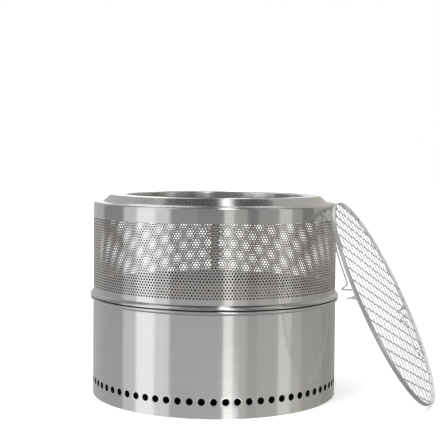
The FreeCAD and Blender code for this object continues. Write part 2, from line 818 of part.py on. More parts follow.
def make_grate_tabs():
    """A pointed tab beside each locating foot."""
    seat = foot_seat.value
    under = -(sizes.hoop_height.value / 2 + sizes.weld_gap.value)
    middle = FOOT_START + FOOT_LEAD + FOOT_RUN + FOOT_DROP + FOOT_RETURN + TAB_STEP
    half_angle = math.degrees(sizes.tab_width.value / 2 / seat)
    inner = seat - sizes.tab_sheet.value / 2
    tip_radius = inner - (seat - foot_track.value) / 2
    corners = [
        on_grate(inner, middle - half_angle, under),
        on_grate(inner, middle + half_angle, under),
        on_grate(tip_radius, middle - TAB_LEAN, -foot_tip_drop.value)]
    outline = Part.Face(Part.makePolygon(corners + corners[:1]))
    tab = outline.extrude(on_grate(sizes.tab_sheet.value, middle, 0))
    other = tab.copy()
    other.rotate(Vector(0, 0, 0), UP, 180)
    return show("grate_pointed_tabs", Part.makeCompound([tab, other]))


def make_grate():
    """All pieces of the grate, leant against the pit together."""
    pieces = [
        make_grate_hoop(),
        make_grate_wires("grate_long_wires", LONG_WIRE_TURN, sizes.wire_radius.value),
        make_grate_wires("grate_cross_wires", LONG_WIRE_TURN + 90, -sizes.wire_radius.value),
        make_grate_feet(),
        make_grate_tabs()]
    for piece in pieces:
        piece.Placement = grate_placement()
    return pieces


def save(pieces):
    """Check every object and write each piece to its own file."""
    doc.recompute()
    for item in doc.Objects:
        assert "Invalid" not in item.State and "Error" not in item.State, item.Label
    os.makedirs("parts", exist_ok=True)
    for piece in pieces:
        shape = piece.Shape
        assert not shape.isNull() and shape.isValid() and shape.Volume > 0, piece.Label
        shape.exportStep(f"parts/{piece.Label}.step")
        print(f"{piece.Label}: {len(shape.Solids)} solids, {shape.Volume / 1000:.1f} cm3")


pieces = [
    make_outer_drum(),
    make_drum_floor(),
    make_support_ring(),
    make_chamber_floor(),
    make_burn_chamber(),
    make_fire_ledge(),
    make_locating_collar(),
    make_wall_spacers(),
    make_spacer_rivets(),
    make_perforated_shell(),
    make_seat_hoop(),
    make_flame_ring(),
    make_seam_strip(),
    make_ash_pan(),
    make_bail_lugs(),
    make_lug_rivets(),
    make_bail(),
    make_burn_plate()]
pieces += make_grate()
save(pieces)
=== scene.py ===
import math

import bmesh
import bpy
from mathutils import Matrix, Vector


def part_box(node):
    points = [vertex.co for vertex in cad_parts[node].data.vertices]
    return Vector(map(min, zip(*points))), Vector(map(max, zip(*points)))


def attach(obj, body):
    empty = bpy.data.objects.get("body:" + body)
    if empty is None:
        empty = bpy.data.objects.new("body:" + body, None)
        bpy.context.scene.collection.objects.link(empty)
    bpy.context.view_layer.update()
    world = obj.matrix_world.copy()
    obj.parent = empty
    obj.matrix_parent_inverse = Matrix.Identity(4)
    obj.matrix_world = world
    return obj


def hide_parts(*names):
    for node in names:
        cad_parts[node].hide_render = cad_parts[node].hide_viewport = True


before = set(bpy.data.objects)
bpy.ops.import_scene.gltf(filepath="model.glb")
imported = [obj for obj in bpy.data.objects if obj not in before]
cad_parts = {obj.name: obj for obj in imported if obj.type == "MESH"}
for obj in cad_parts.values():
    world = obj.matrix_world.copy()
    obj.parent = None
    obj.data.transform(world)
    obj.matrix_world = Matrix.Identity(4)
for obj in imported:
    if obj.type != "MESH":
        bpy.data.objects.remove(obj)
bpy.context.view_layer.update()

bl_info = {
    "name": "Smokeless Fire Pit",
    "version": (1, 0, 0),
    "blender": (4, 5, 0),
    "location": "View3D > Sidebar > Fire Pit",
    "description": "Models and finishes the sheet metal, wire and stage of a smokeless fire pit",
    "category": "Object",
}

MM = 0.001
CENTRE = Vector((0, 0, 0))
UPRIGHT = (math.pi / 2, 0, 0)
FULL_TURN = 2 * math.pi
CLOSE = 0.02 * MM
PLAIN_CARD = (1, 1, 1)
COOL_CARD = (0.98, 0.99, 1)
WARM_CARD = (1, 0.986, 0.95)
WARMER_CARD = (1, 0.97, 0.89)


# Sizes and colours that a user would change

def length(name, millimetres, description):
    """A length property with its default given in millimetres."""
    return bpy.props.FloatProperty(
        name=name, default=millimetres * MM, description=description, unit="LENGTH", precision=5)


def count(name, number, description):
    """A whole number property."""
    return bpy.props.IntProperty(name=name, default=number, description=description)


def angle(name, degrees, description):
    """An angle property with its default given in degrees."""
    return bpy.props.FloatProperty(
        name=name, default=math.radians(degrees), description=description, subtype="ANGLE")


def tone(name, colour, description):
    """A colour property."""
    return bpy.props.FloatVectorProperty(
        name=name, default=colour, description=description, subtype="COLOR", size=3, min=0, max=1)


class SheetSizes(bpy.types.PropertyGroup):
    """Sizes of the pressed and rolled sheets."""

    wall: length("Sheet", 0.8, "Thickness of the pressed sheets")
    drum_radius: length("Drum radius", 247.5, "Outside radius of the drum wall")
    bead_start: length("Bead start", 189.6, "Height where the drum wall starts to swell")
    bead_radius: length("Bead radius", 253.0, "Radius of the widest part of the bead")
    bead_height: length("Bead height", 196.0, "Height of the widest part of the bead")
    bead_round: length("Bead round", 7.4, "Radius of the bead's flank")
    shelf_round: length("Shelf round", 2.4, "Radius between the bead and the shelf")
    shelf_height: length("Shelf height", 198.0, "Top of the drum's inward shelf")
    shelf_radius: length("Shelf radius", 238.05, "Radius where the shelf ends")
    vent_count: count("Vents", 70, "Air vents round the drum")
    vent_radius: length("Vent radius", 6.7, "Radius of an air vent")
    vent_height: length("Vent height", 31.2, "Height of the row of air vents")
    vent_press: length("Vent press", 0.16, "How far the edge of a vent or an air hole is pressed in")
    chamber_radius: length("Chamber radius", 218.0, "Outside radius of the burn chamber")
    chamber_low: length("Chamber low", 37.0, "Bottom edge of the burn chamber wall")
    chamber_top: length("Chamber top", 192.0, "Top edge of the burn chamber wall")
    low_air_count: count("Low holes", 24, "Lower air holes")
    low_air_radius: length("Low hole radius", 5.0, "Radius of a lower air hole")
    low_air_height: length("Low hole height", 62.0, "Height of the lower air holes")
    high_air_count: count("High holes", 48, "Upper air holes")
    high_air_radius: length("High hole radius", 4.0, "Radius of an upper air hole")
    high_air_height: length("High hole height", 176.0, "Height of the upper air holes")
    shell_radius: length("Shell radius", 247.0, "Outside radius of the perforated shell")
    shell_low: length("Shell low", 200.2, "Lower edge of the shell's skirt")
    skirt_edge: length("Skirt edge", 1.6, "Height of the skirt's straight edge")
    skirt_round: length("Skirt round", 12.0, "Radius of the skirt's flank")
    skirt_top: length("Skirt top", 208.0, "Height where the skirt meets the shell wall")
    shell_top: length("Shell top", 381.5, "Top edge of the shell wall")
    mesh_count: count("Holes in a row", 252, "Pitches round the shell")
    mesh_rows: count("Rows", 27, "Rows of small holes")
    mesh_low: length("Lowest row", 220.4, "Height of the lowest row of small holes")
    mesh_high: length("Highest row", 354.2, "Height of the highest row of small holes")
    mesh_radius: length("Small hole radius", 2.05, "Radius of a small hole")


class RingSizes(bpy.types.PropertyGroup):
    """Sizes of the flame ring, the ash pan and the burn plate."""

    ring_skirt: length("Ring skirt", 13.0, "Length of the ring's skirt inside the shell")
    ring_gap: length("Ring gap", 0.05, "Gap between the ring and the shell's top edge and inside")
    corner_height: length("Corner height", 386.4, "Height of the ring's outer corner")
    corner_round: length("Corner round", 5.0, "Radius of the ring's outer corner")
    slope_foot: length("Slope foot", 228.5, "Radius of the foot of the slope")
    slope_foot_height: length("Slope foot height", 387.6, "Height of the foot of the slope")
    slope_head: length("Slope head", 214.0, "Radius where the slope meets the flat top")
    ring_top: length("Ring top", 401.5, "Height of the flat top")
    opening_radius: length("Opening", 182.0, "Radius of the opening")
    lip_length: length("Lip", 14.0, "Length of the lip that turns down into the opening")
    press_round: length("Press round", 4.5, "Radius of the pressed bends")
    lip_round: length("Lip round", 2.5, "Radius between the flat top and the lip")
    pan_radius: length("Pan radius", 196.0, "Outside radius of the ash pan")
    pan_low: length("Pan low", 46.1, "Underside of the ash pan")
    pan_top: length("Pan top", 79.7, "Top edge of the ash pan")
    pan_wall: length("Pan wall", 1.0, "Thickness of the ash pan")
    pan_edge: length("Pan edge", 3.0, "Width of the ash pan's turned-in edge")
    pan_round: length("Pan round", 6.0, "Radius between the pan's floor and its wall")
    pan_edge_round: length("Pan edge round", 1.2, "Radius between the pan's wall and its turned-in edge")
    plate_bevel: length("Plate bevel", 0.3, "Bevel on the burn plate's edges")


class GrateSizes(bpy.types.PropertyGroup):
    """Sizes and lean of the cooking grate."""

    hoop_radius: length("Hoop radius", 216.0, "Outside radius of the hoop")
    hoop_wall: length("Hoop wall", 2.0, "Thickness of the hoop")
    hoop_height: length("Hoop height", 8.0, "Height of the hoop")
    hoop_bevel: length("Hoop bevel", 0.35, "Round on the hoop's edges")
    wire_radius: length("Wire radius", 1.2, "Radius of a wire")
    wire_crimp: length("Wire crimp", 0.5, "How far a wire swings to either side")
    wire_pitch: length("Wire pitch", 25.4, "Distance between wires")
    lean: angle("Lean", 26.5, "Angle of the grate from upright")
    towards: angle("Towards", -17.6, "Side that the grate faces")
    wire_turn: angle("Wire turn", -21.0, "Turn of the long wires")


class SeamSizes(bpy.types.PropertyGroup):
    """Sizes of the welded seams at the back."""

    bead_width: length("Bead width", 3.2, "Width of a bead of weld")
    bead_proud: length("Bead proud", 0.35, "How far a bead of weld stands out")
    end_margin: length("End margin", 3.0, "Distance from a seam's end to the end of its wall")
    mark_rows: count("Mark rows", 9, "Spot welds on each side of the seam")
    mark_reach: length("Mark reach", 6.0, "Distance from the seam to the middle of a spot weld")
    mark_radius: length("Mark radius", 2.2, "Radius of a spot weld")
    mark_proud: length("Mark proud", 0.2, "How far a spot weld stands out")


class PitFinishes(bpy.types.PropertyGroup):
    """Colours of the finishes."""

    shell_colour: tone("Brushed steel", (0.655, 0.655, 0.655), "Outside of drum, shell and ring")
    inner_colour: tone("Inner steel", (0.22, 0.216, 0.21), "Inside of the walls")
    # Painted shade: steel behind the vents, painted near black to stand in for the shade inside the drum
    painted_drum_shade_colour: tone("Drum inside", (0.07, 0.068, 0.065), "Dull steel behind the vents")
    shell_inside_colour: tone("Shell inside", (0.36, 0.28, 0.21), "Inside of the shell, tinted by heat")
    chamber_colour: tone("Chamber steel", (0.52, 0.41, 0.32), "Inside of burn chamber and ash pan")
    hearth_colour: tone("Hearth steel", (0.36, 0.34, 0.315), "Floors, ledge and plate over the fire")
    bail_colour: tone("Bail", (0.68, 0.68, 0.68), "Wire handle of the ash pan")
    # Painted light and shade: both wire families are the same drawn wire; the level wires are painted
    # darker and the slope wires lighter for how the light falls on them
    long_wire_shaded_colour: tone("Long wires", (0.53, 0.53, 0.52), "Level wires of the grate, and its feet")
    cross_wire_lit_colour: tone("Cross wires", (0.76, 0.76, 0.76), "Wires up the slope of the grate")
    hoop_colour: tone("Hoop", (0.50, 0.50, 0.49), "Outside and edges of the hoop, and the pointed tabs")
    # Painted light: the hoop's inside is the same steel as its outside, painted bright for the light it
    # catches, not worn
    hoop_painted_light_colour: tone("Hoop inside", (0.90, 0.90, 0.90), "Worn bright inside of the hoop")
    weld_colour: tone("Weld", (0.42, 0.40, 0.37), "Welded seams and spot welds")
    floor_colour: tone("Floor", (0.80, 0.80, 0.80), "Studio floor")


# Working on a mesh

def clear_selection():
    """Deselect every object."""
    for item in bpy.context.selected_objects:
        item.select_set(False)


def activate(piece):
    """Make a piece the only selected object and the active one."""
    clear_selection()
    piece.select_set(True)
    bpy.context.view_layer.objects.active = piece


def edit(piece):
    """Open a piece in edit mode."""
    activate(piece)
    bpy.ops.object.mode_set(mode="EDIT")


def leave_edit():
    """Go back to object mode."""
    bpy.ops.object.mode_set(mode="OBJECT")


def pick_points(piece, test):
    """Select the points whose place passes the test, with the edges and faces between them."""
    bpy.ops.mesh.select_mode(type="VERT")
    mesh = bmesh.from_edit_mesh(piece.data)
    for face in mesh.faces:
        face.select = False
    for edge in mesh.edges:
        edge.select = False
    for point in mesh.verts:
        point.select = test(point.co)
    mesh.select_flush_mode()
    bmesh.update_edit_mesh(piece.data)


def pick_border(piece, test):
    """Select the border edges whose middle passes the test."""
    bpy.ops.mesh.select_mode(type="EDGE")
    mesh = bmesh.from_edit_mesh(piece.data)
    for face in mesh.faces:
        face.select = False
    for edge in mesh.edges:
        edge.select = False
    for edge in mesh.edges:
        if edge.is_boundary and test((edge.verts[0].co + edge.verts[1].co) / 2):
            edge.select = True
    mesh.select_flush_mode()
    bmesh.update_edit_mesh(piece.data)


def extrude_by(across, away, up):
    """Extrude what is selected by a step."""
    bpy.ops.mesh.extrude_region_move(TRANSFORM_OT_translate={"value": (across, away, up)})


def merge_close():
    """Merge points that lie on each other."""
    bpy.ops.mesh.select_mode(type="VERT")
    bpy.ops.mesh.select_all(action="SELECT")
    bpy.ops.mesh.remove_doubles(threshold=CLOSE)


def apply_modifier(piece, kind, **settings):
    """Add a modifier with its settings and apply it."""
    modifier = piece.modifiers.new(kind.title(), kind)
    for name, value in settings.items():
        setattr(modifier, name, value)
    activate(piece)
    bpy.ops.object.modifier_apply(modifier=modifier.name)


def repeat(piece, count, step):
    """Repeat a piece in a row, joined where the copies meet."""
    apply_modifier(
        piece, "ARRAY", count=count, use_relative_offset=False, use_constant_offset=True,
        constant_offset_displace=step, use_merge_vertices=True, merge_threshold=CLOSE)


def join(pieces):
    """Join pieces into the first one."""
    activate(pieces[0])
    for other in pieces[1:]:
        other.select_set(True)
    bpy.ops.object.join()
    return pieces[0]


def face_outwards(piece):
    """Turn all faces outwards and check the outermost one."""
    bpy.ops.mesh.select_all(action="SELECT")
    bpy.ops.mesh.normals_make_consistent(inside=False)
    mesh = bmesh.from_edit_mesh(piece.data)

    def reach(face):
        middle = face.calc_center_median()
        return math.hypot(middle.x, middle.y)

    outer = max(mesh.faces, key=reach)
    middle = outer.calc_center_median()
    if outer.normal.x * middle.x + outer.normal.y * middle.y < 0:
        bpy.ops.mesh.flip_normals()


def thicken(piece, wall, outside, inside):
    """Give a sheet its thickness towards the inside, with a finish for each side."""
    piece.data.materials.append(outside)
    piece.data.materials.append(inside)
    apply_modifier(
        piece, "SOLIDIFY", thickness=wall, offset=-1, use_even_offset=True,
        material_offset=1, material_offset_rim=1)


def smooth(piece, degrees=32):
    """Shade smooth, with the sharp bends kept."""
    activate(piece)
    bpy.ops.object.shade_smooth_by_angle(angle=math.radians(degrees))


def settle(piece, name, body, nodes, finish=None):
    """Name a finished piece, give it one finish if asked, and put it in the place of its solids."""
    piece.name = name
    piece.data.name = name
    if finish:
        piece.data.materials.clear()
        piece.data.materials.append(finish)
    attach(piece, body)
    if nodes:
        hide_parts(*nodes)


# Outlines in the half section, each point as radius and height

def arc_points(start, end, radius, steps):
    """Points of a short arc between two points, without the first; the radius's sign picks its side."""
    start = Vector(start)
    end = Vector(end)
    chord = end - start
    rise = math.sqrt(radius * radius - chord.length_squared / 4)
    side = Vector((-chord.y, chord.x)).normalized()
    centre = (start + end) / 2 + side * math.copysign(rise, radius)
    first = start - centre
    turn = first.angle_signed(end - centre)
    turns = [Matrix.Rotation(-turn * step / steps, 2) for step in range(1, steps + 1)]
    return [tuple(centre + part @ first) for part in turns]


def rounded(corners, steps):
    """An outline with its corners rounded; a corner's third value is its radius."""
    points = []
    for index, corner in enumerate(corners):
        here = Vector(corner[:2])
        if len(corner) == 2:
            points.append(tuple(here))
            continue
        into = (here - Vector(corners[index - 1][:2])).normalized()
        away = (Vector(corners[index + 1][:2]) - here).normalized()
        half = into.angle(away) / 2
        setback = corner[2] * math.tan(half)
        start = here - into * setback
        end = here + away * setback
        points.append(tuple(start))
        left = into.x * away.y - into.y * away.x > 0
        points += arc_points(start, end, corner[2] if left else -corner[2], steps)
    return points


def spun(name, outline, steps):
    """A sheet spun about the upright axis from its outline."""
    clear_selection()
    bpy.ops.mesh.primitive_plane_add(size=MM, location=(outline[0][0], 0, outline[0][1]))
    piece = bpy.context.object
    piece.name = name
    bpy.ops.object.transform_apply(location=True, rotation=True, scale=True)
    bpy.ops.object.mode_set(mode="EDIT")
    bpy.ops.mesh.select_all(action="SELECT")
    bpy.ops.mesh.merge(type="CENTER")
    for before, after in zip(outline, outline[1:]):
        extrude_by(after[0] - before[0], 0, after[1] - before[1])
    bpy.ops.mesh.select_all(action="SELECT")
    bpy.ops.mesh.spin(steps=steps, angle=FULL_TURN, center=CENTRE, axis=(0, 0, 1), use_auto_merge=True)
    merge_close()
    face_outwards(piece)
    leave_edit()
    return piece


# Rolled walls, laid flat with the front at the middle, then bent round

def holed_cell(name, width, height, columns, rows, hole_points, hole_rings):
    """One cell of a rolled wall: a rectangle round a hole, whose rings give radius and depth."""
    clear_selection()
    bpy.ops.mesh.primitive_grid_add(
        x_subdivisions=columns, y_subdivisions=rows, size=1, rotation=UPRIGHT)
    cell = bpy.context.object
    cell.name = name
    cell.scale = (width, height, 1)
    bpy.ops.object.transform_apply(location=True, rotation=True, scale=True)
    bpy.ops.object.mode_set(mode="EDIT")
    inside_share = 0.49
    pick_points(cell, lambda co: abs(co.x) < width * inside_share and abs(co.z) < height * inside_share)
    bpy.ops.mesh.delete(type="VERT")
    first = hole_rings[0][0]
    bpy.ops.mesh.primitive_circle_add(vertices=hole_points, radius=first, rotation=UPRIGHT)
    bpy.ops.mesh.select_mode(type="EDGE")
    bpy.ops.mesh.select_all(action="SELECT")
    bpy.ops.mesh.bridge_edge_loops()
    for (before, sunk), (after, depth) in zip(hole_rings, hole_rings[1:]):
        pick_border(cell, lambda co: math.hypot(co.x, co.z) < before + CLOSE)
        extrude_by(0, depth - sunk, 0)
        bpy.ops.transform.resize(value=(after / before, 1, after / before), center_override=CENTRE)
    leave_edit()
    return cell


def pressed_rings(radius, press, rim_shares):
    """Rings of a hole with a pressed edge, from outside in, as radius and depth."""
    return [(radius * reach_share, press * depth_share) for reach_share, depth_share in rim_shares]


def shift(piece, across, up):
    """Move the mesh of a piece."""
    edit(piece)
    bpy.ops.mesh.select_all(action="SELECT")
    bpy.ops.transform.translate(value=(across, 0, up))
    leave_edit()


def grow_edge(piece, radius, outline, last_height):
    """Extrude the border at one height along an outline of radii and heights."""
    edit(piece)
    pick_border(piece, lambda co: abs(co.z - last_height) < CLOSE)
    place = (radius, last_height)
    for point in outline:
        extrude_by(0, place[0] - point[0], point[1] - place[1])
        place = point
    leave_edit()


def roll_up(piece, wall, outside, inside):
    """Bend a flat wall round the upright axis, close its seam and give it its thickness."""
    edit(piece)
    merge_close()
    leave_edit()
    across = [point.co.x for point in piece.data.vertices]
    radius = (max(across) - min(across)) / FULL_TURN
    apply_modifier(piece, "SIMPLE_DEFORM", deform_method="BEND", deform_axis="Z", angle=FULL_TURN)
    edit(piece)
    bpy.ops.mesh.select_all(action="SELECT")
    bpy.ops.transform.translate(value=(0, -radius, 0))
    merge_close()
    face_outwards(piece)
    leave_edit()
    thicken(piece, wall, outside, inside)


# Finishes

def bare_tree(owner, output_type="ShaderNodeOutputMaterial"):
    """The emptied nodes of a material or a world, with a new output."""
    owner.use_nodes = True
    tree = owner.node_tree
    tree.nodes.clear()
    return tree, tree.nodes.new(output_type)


def new_finish(name, metallic, roughness):
    """A material with only its shader and output, and handles to build on."""
    material = bpy.data.materials.new(name)
    tree, output = bare_tree(material)
    shader = tree.nodes.new("ShaderNodeBsdfPrincipled")
    shader.inputs["Metallic"].default_value = metallic
    shader.inputs["Roughness"].default_value = roughness
    tree.links.new(shader.outputs["BSDF"], output.inputs["Surface"])
    return material, tree, shader


def pattern(tree, scale, detail, roughness=0.55):
    """Noise on object coordinates, stretched by a scale for each axis."""
    place = tree.nodes.new("ShaderNodeTexCoord")
    mapping = tree.nodes.new("ShaderNodeMapping")
    mapping.inputs["Scale"].default_value = scale
    noise = tree.nodes.new("ShaderNodeTexNoise")
    noise.inputs["Scale"].default_value = 1
    noise.inputs["Detail"].default_value = detail
    noise.inputs["Roughness"].default_value = roughness
    tree.links.new(place.outputs["Object"], mapping.inputs["Vector"])
    tree.links.new(mapping.outputs["Vector"], noise.inputs["Vector"])
    return noise.outputs[0]


def spread(tree, value, low, high, start=0.3, end=0.7):
    """Map a noise value to a range."""
    node = tree.nodes.new("ShaderNodeMapRange")
    node.inputs["From Min"].default_value = start
    node.inputs["From Max"].default_value = end
    node.inputs["To Min"].default_value = low
    node.inputs["To Max"].default_value = high
    tree.links.new(value, node.inputs["Value"])
    return node.outputs["Result"]


def combine(tree, operation, first, second):
    """Combine two values."""
    node = tree.nodes.new("ShaderNodeMath")
    node.operation = operation
    tree.links.new(first, node.inputs[0])
    tree.links.new(second, node.inputs[1])
    return node.outputs[0]


def shade_colour(tree, colour, value):
    """A colour made lighter and darker by a value about one."""
    node = tree.nodes.new("ShaderNodeMix")
    node.data_type = "RGBA"
    node.blend_type = "MULTIPLY"
    node.inputs["Factor"].default_value = 1
    node.inputs["A"].default_value = (*colour, 1)
    tree.links.new(value, node.inputs["B"])
    return node.outputs["Result"]


def mix_colours(tree, share, first, second):
    """A mix of two colours or sockets by a share."""
    node = tree.nodes.new("ShaderNodeMix")
    node.data_type = "RGBA"
    tree.links.new(share, node.inputs["Factor"])
    for socket, colour in (("A", first), ("B", second)):
        if isinstance(colour, bpy.types.NodeSocket):
            tree.links.new(colour, node.inputs[socket])
        else:
            node.inputs[socket].default_value = (*colour, 1)
    return node.outputs["Result"]


def add_relief(tree, shader, height, distance, strength):
    """Bump from a height value."""
    bump = tree.nodes.new("ShaderNodeBump")
    bump.inputs["Strength"].default_value = strength
    bump.inputs["Distance"].default_value = distance
    tree.links.new(height, bump.inputs["Height"])
    tree.links.new(bump.outputs["Normal"], shader.inputs["Normal"])


def add_grain_direction(tree, shader, stretch):
    """Stretch highlights across the grain that runs round the upright axis."""
    tangent = tree.nodes.new("ShaderNodeTangent")
    tangent.direction_type = "RADIAL"
    tangent.axis = "Z"
    quarter_turn = 0.25
    shader.inputs["Anisotropic"].default_value = stretch
    shader.inputs["Anisotropic Rotation"].default_value = quarter_turn
    tree.links.new(tangent.outputs["Tangent"], shader.inputs["Tangent"])


def brushed_finish(name, colour, roughness):
    """Brushed stainless sheet with fine grain round the pit, faint clouds and handling marks."""
    material, tree, shader = new_finish(name, metallic=1, roughness=roughness)
    grain = pattern(tree, scale=(14, 14, 2400), detail=4)
    streak = pattern(tree, scale=(5, 5, 260), detail=3)
    cloud = pattern(tree, scale=(9, 9, 16), detail=4)
    grain_light = spread(tree, grain, low=0.965, high=1.03)
    streak_light = spread(tree, streak, low=0.985, high=1.015)
    cloud_light = spread(tree, cloud, low=0.985, high=1.012)
    light = combine(tree, "MULTIPLY", combine(tree, "MULTIPLY", grain_light, streak_light), cloud_light)
    tree.links.new(shade_colour(tree, colour, light), shader.inputs["Base Color"])
    grain_rough = spread(tree, grain, low=roughness - 0.015, high=roughness + 0.02)
    cloud_rough = spread(tree, cloud, low=-0.01, high=0.02)
    tree.links.new(combine(tree, "ADD", grain_rough, cloud_rough), shader.inputs["Roughness"])
    add_relief(tree, shader, combine(tree, "ADD", grain, streak), distance=0.004 * MM, strength=0.5)
    add_grain_direction(tree, shader, stretch=0.85)
    return material


def dull_finish(name, colour, roughness, soot=0.25, metallic=1.0):
    """Mill-finish steel inside the pit, a little stained by heat."""
    material, tree, shader = new_finish(name, metallic, roughness)
    cloud = pattern(tree, scale=(22, 22, 34), detail=6, roughness=0.62)
    speck = pattern(tree, scale=(260, 260, 260), detail=3)
    cloud_light = spread(tree, cloud, low=1 - soot, high=1 + soot / 2)
    light = combine(tree, "MULTIPLY", cloud_light, spread(tree, speck, low=0.95, high=1.05))
    tree.links.new(shade_colour(tree, colour, light), shader.inputs["Base Color"])
    rough = spread(tree, cloud, low=roughness + 0.1, high=roughness - 0.06)
    tree.links.new(rough, shader.inputs["Roughness"])
    add_relief(tree, shader, speck, distance=0.03 * MM, strength=0.5)
    return material


def hearth_finish(name, colour):
    """Steel over the fire, darkened, with straw and blue heat tints."""
    material, tree, shader = new_finish(name, metallic=0.6, roughness=0.55)
    cloud = pattern(tree, scale=(9, 9, 9), detail=6, roughness=0.6)
    stain = pattern(tree, scale=(34, 34, 34), detail=5)
    straw_shares = (1.5, 1.2, 0.8)
    blue_shares = (0.75, 0.85, 1.15)
    straw = tuple(part * share for part, share in zip(colour, straw_shares))
    blue = tuple(part * share for part, share in zip(colour, blue_shares))
    tint = mix_colours(tree, spread(tree, cloud, low=0, high=1, start=0.35, end=0.65), straw, blue)
    stained = spread(tree, stain, low=0.35, high=1, start=0.35, end=0.6)
    tree.links.new(mix_colours(tree, stained, colour, tint), shader.inputs["Base Color"])
    tree.links.new(spread(tree, stain, low=0.46, high=0.68), shader.inputs["Roughness"])
    add_relief(tree, shader, stain, distance=0.05 * MM, strength=0.4)
    return material


def wire_finish(name, colour, roughness, metallic=1.0):
    """Drawn wire with a slightly uneven polish."""
    material, tree, shader = new_finish(name, metallic, roughness)
    cloud = pattern(tree, scale=(60, 60, 60), detail=4)
    fine = pattern(tree, scale=(900, 900, 900), detail=2)
    cloud_light = spread(tree, cloud, low=0.9, high=1.08)
    light = combine(tree, "MULTIPLY", cloud_light, spread(tree, fine, low=0.97, high=1.03))
    tree.links.new(shade_colour(tree, colour, light), shader.inputs["Base Color"])
    rough = spread(tree, cloud, low=roughness + 0.06, high=roughness - 0.04)
    tree.links.new(rough, shader.inputs["Roughness"])
    add_relief(tree, shader, fine, distance=0.01 * MM, strength=0.5)
    return material


def finish_named(name):
    """The finish of that name, made when it is first asked for."""
    if name in bpy.data.materials:
        return bpy.data.materials[name]
    colours = bpy.context.scene.pit_finishes
    makers = {
        "drum_brushed": lambda: brushed_finish(name, colours.shell_colour, roughness=0.14),
        "shell_brushed": lambda: brushed_finish(name, colours.shell_colour, roughness=0.16),
        "ring_brushed": lambda: brushed_finish(name, colours.shell_colour, roughness=0.2),
        "wall_inside": lambda: dull_finish(name, colours.inner_colour, roughness=0.42),
        # Painted shade: near-black steel that stands in for the shade inside the drum, so the vents read
        # black
        "painted_drum_shade": lambda: dull_finish(
            name, colours.painted_drum_shade_colour, roughness=0.6, metallic=0.3),
        "shell_inside": lambda: dull_finish(
            name, colours.shell_inside_colour, roughness=0.42, metallic=0.6),
        "chamber_inside": lambda: dull_finish(
            name, colours.chamber_colour, roughness=0.5, soot=0.4, metallic=0.6),
        "hearth": lambda: hearth_finish(name, colours.hearth_colour),
        "rivet_steel_finish": lambda: wire_finish(name, colours.inner_colour, roughness=0.35),
        "bail_finish": lambda: wire_finish(name, colours.bail_colour, roughness=0.28),
        "weld_finish": lambda: dull_finish(name, colours.weld_colour, roughness=0.34, soot=0.2),
        # Painted light and shade: one wire, painted darker for the level wires and lighter, less
        # metallic, for the slope wires
        "long_wire_painted_shading_finish": lambda: wire_finish(
            name, colours.long_wire_shaded_colour, roughness=0.33, metallic=0.75),
        "cross_wire_painted_shading_finish": lambda: wire_finish(
            name, colours.cross_wire_lit_colour, roughness=0.33, metallic=0.4),
        "hoop_finish": lambda: wire_finish(name, colours.hoop_colour, roughness=0.36, metallic=0.75),
        # Painted light: same steel as the hoop's outside, painted bright and less metallic for the light
        # the inside catches
        "hoop_painted_light_finish": lambda: wire_finish(
            name, colours.hoop_painted_light_colour, roughness=0.4, metallic=0.3),
    }
    return makers[name]()


def finish_nodes(names, finish):
    """Give CAD nodes whose shape is right a better finish."""
    for name in names:
        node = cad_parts[name]
        for slot in node.material_slots:
            slot.link = "OBJECT"
            slot.material = finish


# Pieces

class FIREPIT_OT_drum(bpy.types.Operator):
    """Model the drum wall with its pressed vents, rolled bead and shelf"""
    bl_idname = "firepit.drum"
    bl_label = "Drum wall"

    def execute(self, context):
        sizes = context.scene.sheet_sizes
        radius = sizes.drum_radius
        width = FULL_TURN * radius / sizes.vent_count
        rim_shares = ((1.2, 0), (1.08, 0.25), (1, 1))
        rings = pressed_rings(sizes.vent_radius, sizes.vent_press, rim_shares)
        drum = holed_cell("drum_wall", width, width, columns=6, rows=6, hole_points=24, hole_rings=rings)
        shift(drum, -sizes.vent_count / 2 * width, sizes.vent_height)
        repeat(drum, sizes.vent_count, (width, 0, 0))
        low = sizes.vent_height - width / 2
        high = sizes.vent_height + width / 2
        grow_edge(drum, radius, [(radius, low / 2), (radius, 0)], low)
        rows = 4
        outline = [(radius, high + (sizes.bead_start - high) * row / rows) for row in range(1, rows + 1)]
        bead = (sizes.bead_radius, sizes.bead_height)
        outline += arc_points(outline[-1], bead, sizes.bead_round, steps=7)
        shelf = (sizes.bead_radius - sizes.shelf_round, sizes.shelf_height)
        outline += arc_points(bead, shelf, sizes.shelf_round, steps=5)
        outline.append((sizes.shelf_radius, sizes.shelf_height))
        grow_edge(drum, radius, outline, high)
        # The drum's inside takes the near-black painted shade
        roll_up(drum, sizes.wall, finish_named("drum_brushed"), finish_named("painted_drum_shade"))
        smooth(drum)
        settle(drum, "drum_wall", "lower_section", ["outer_drum"])
        return {"FINISHED"}


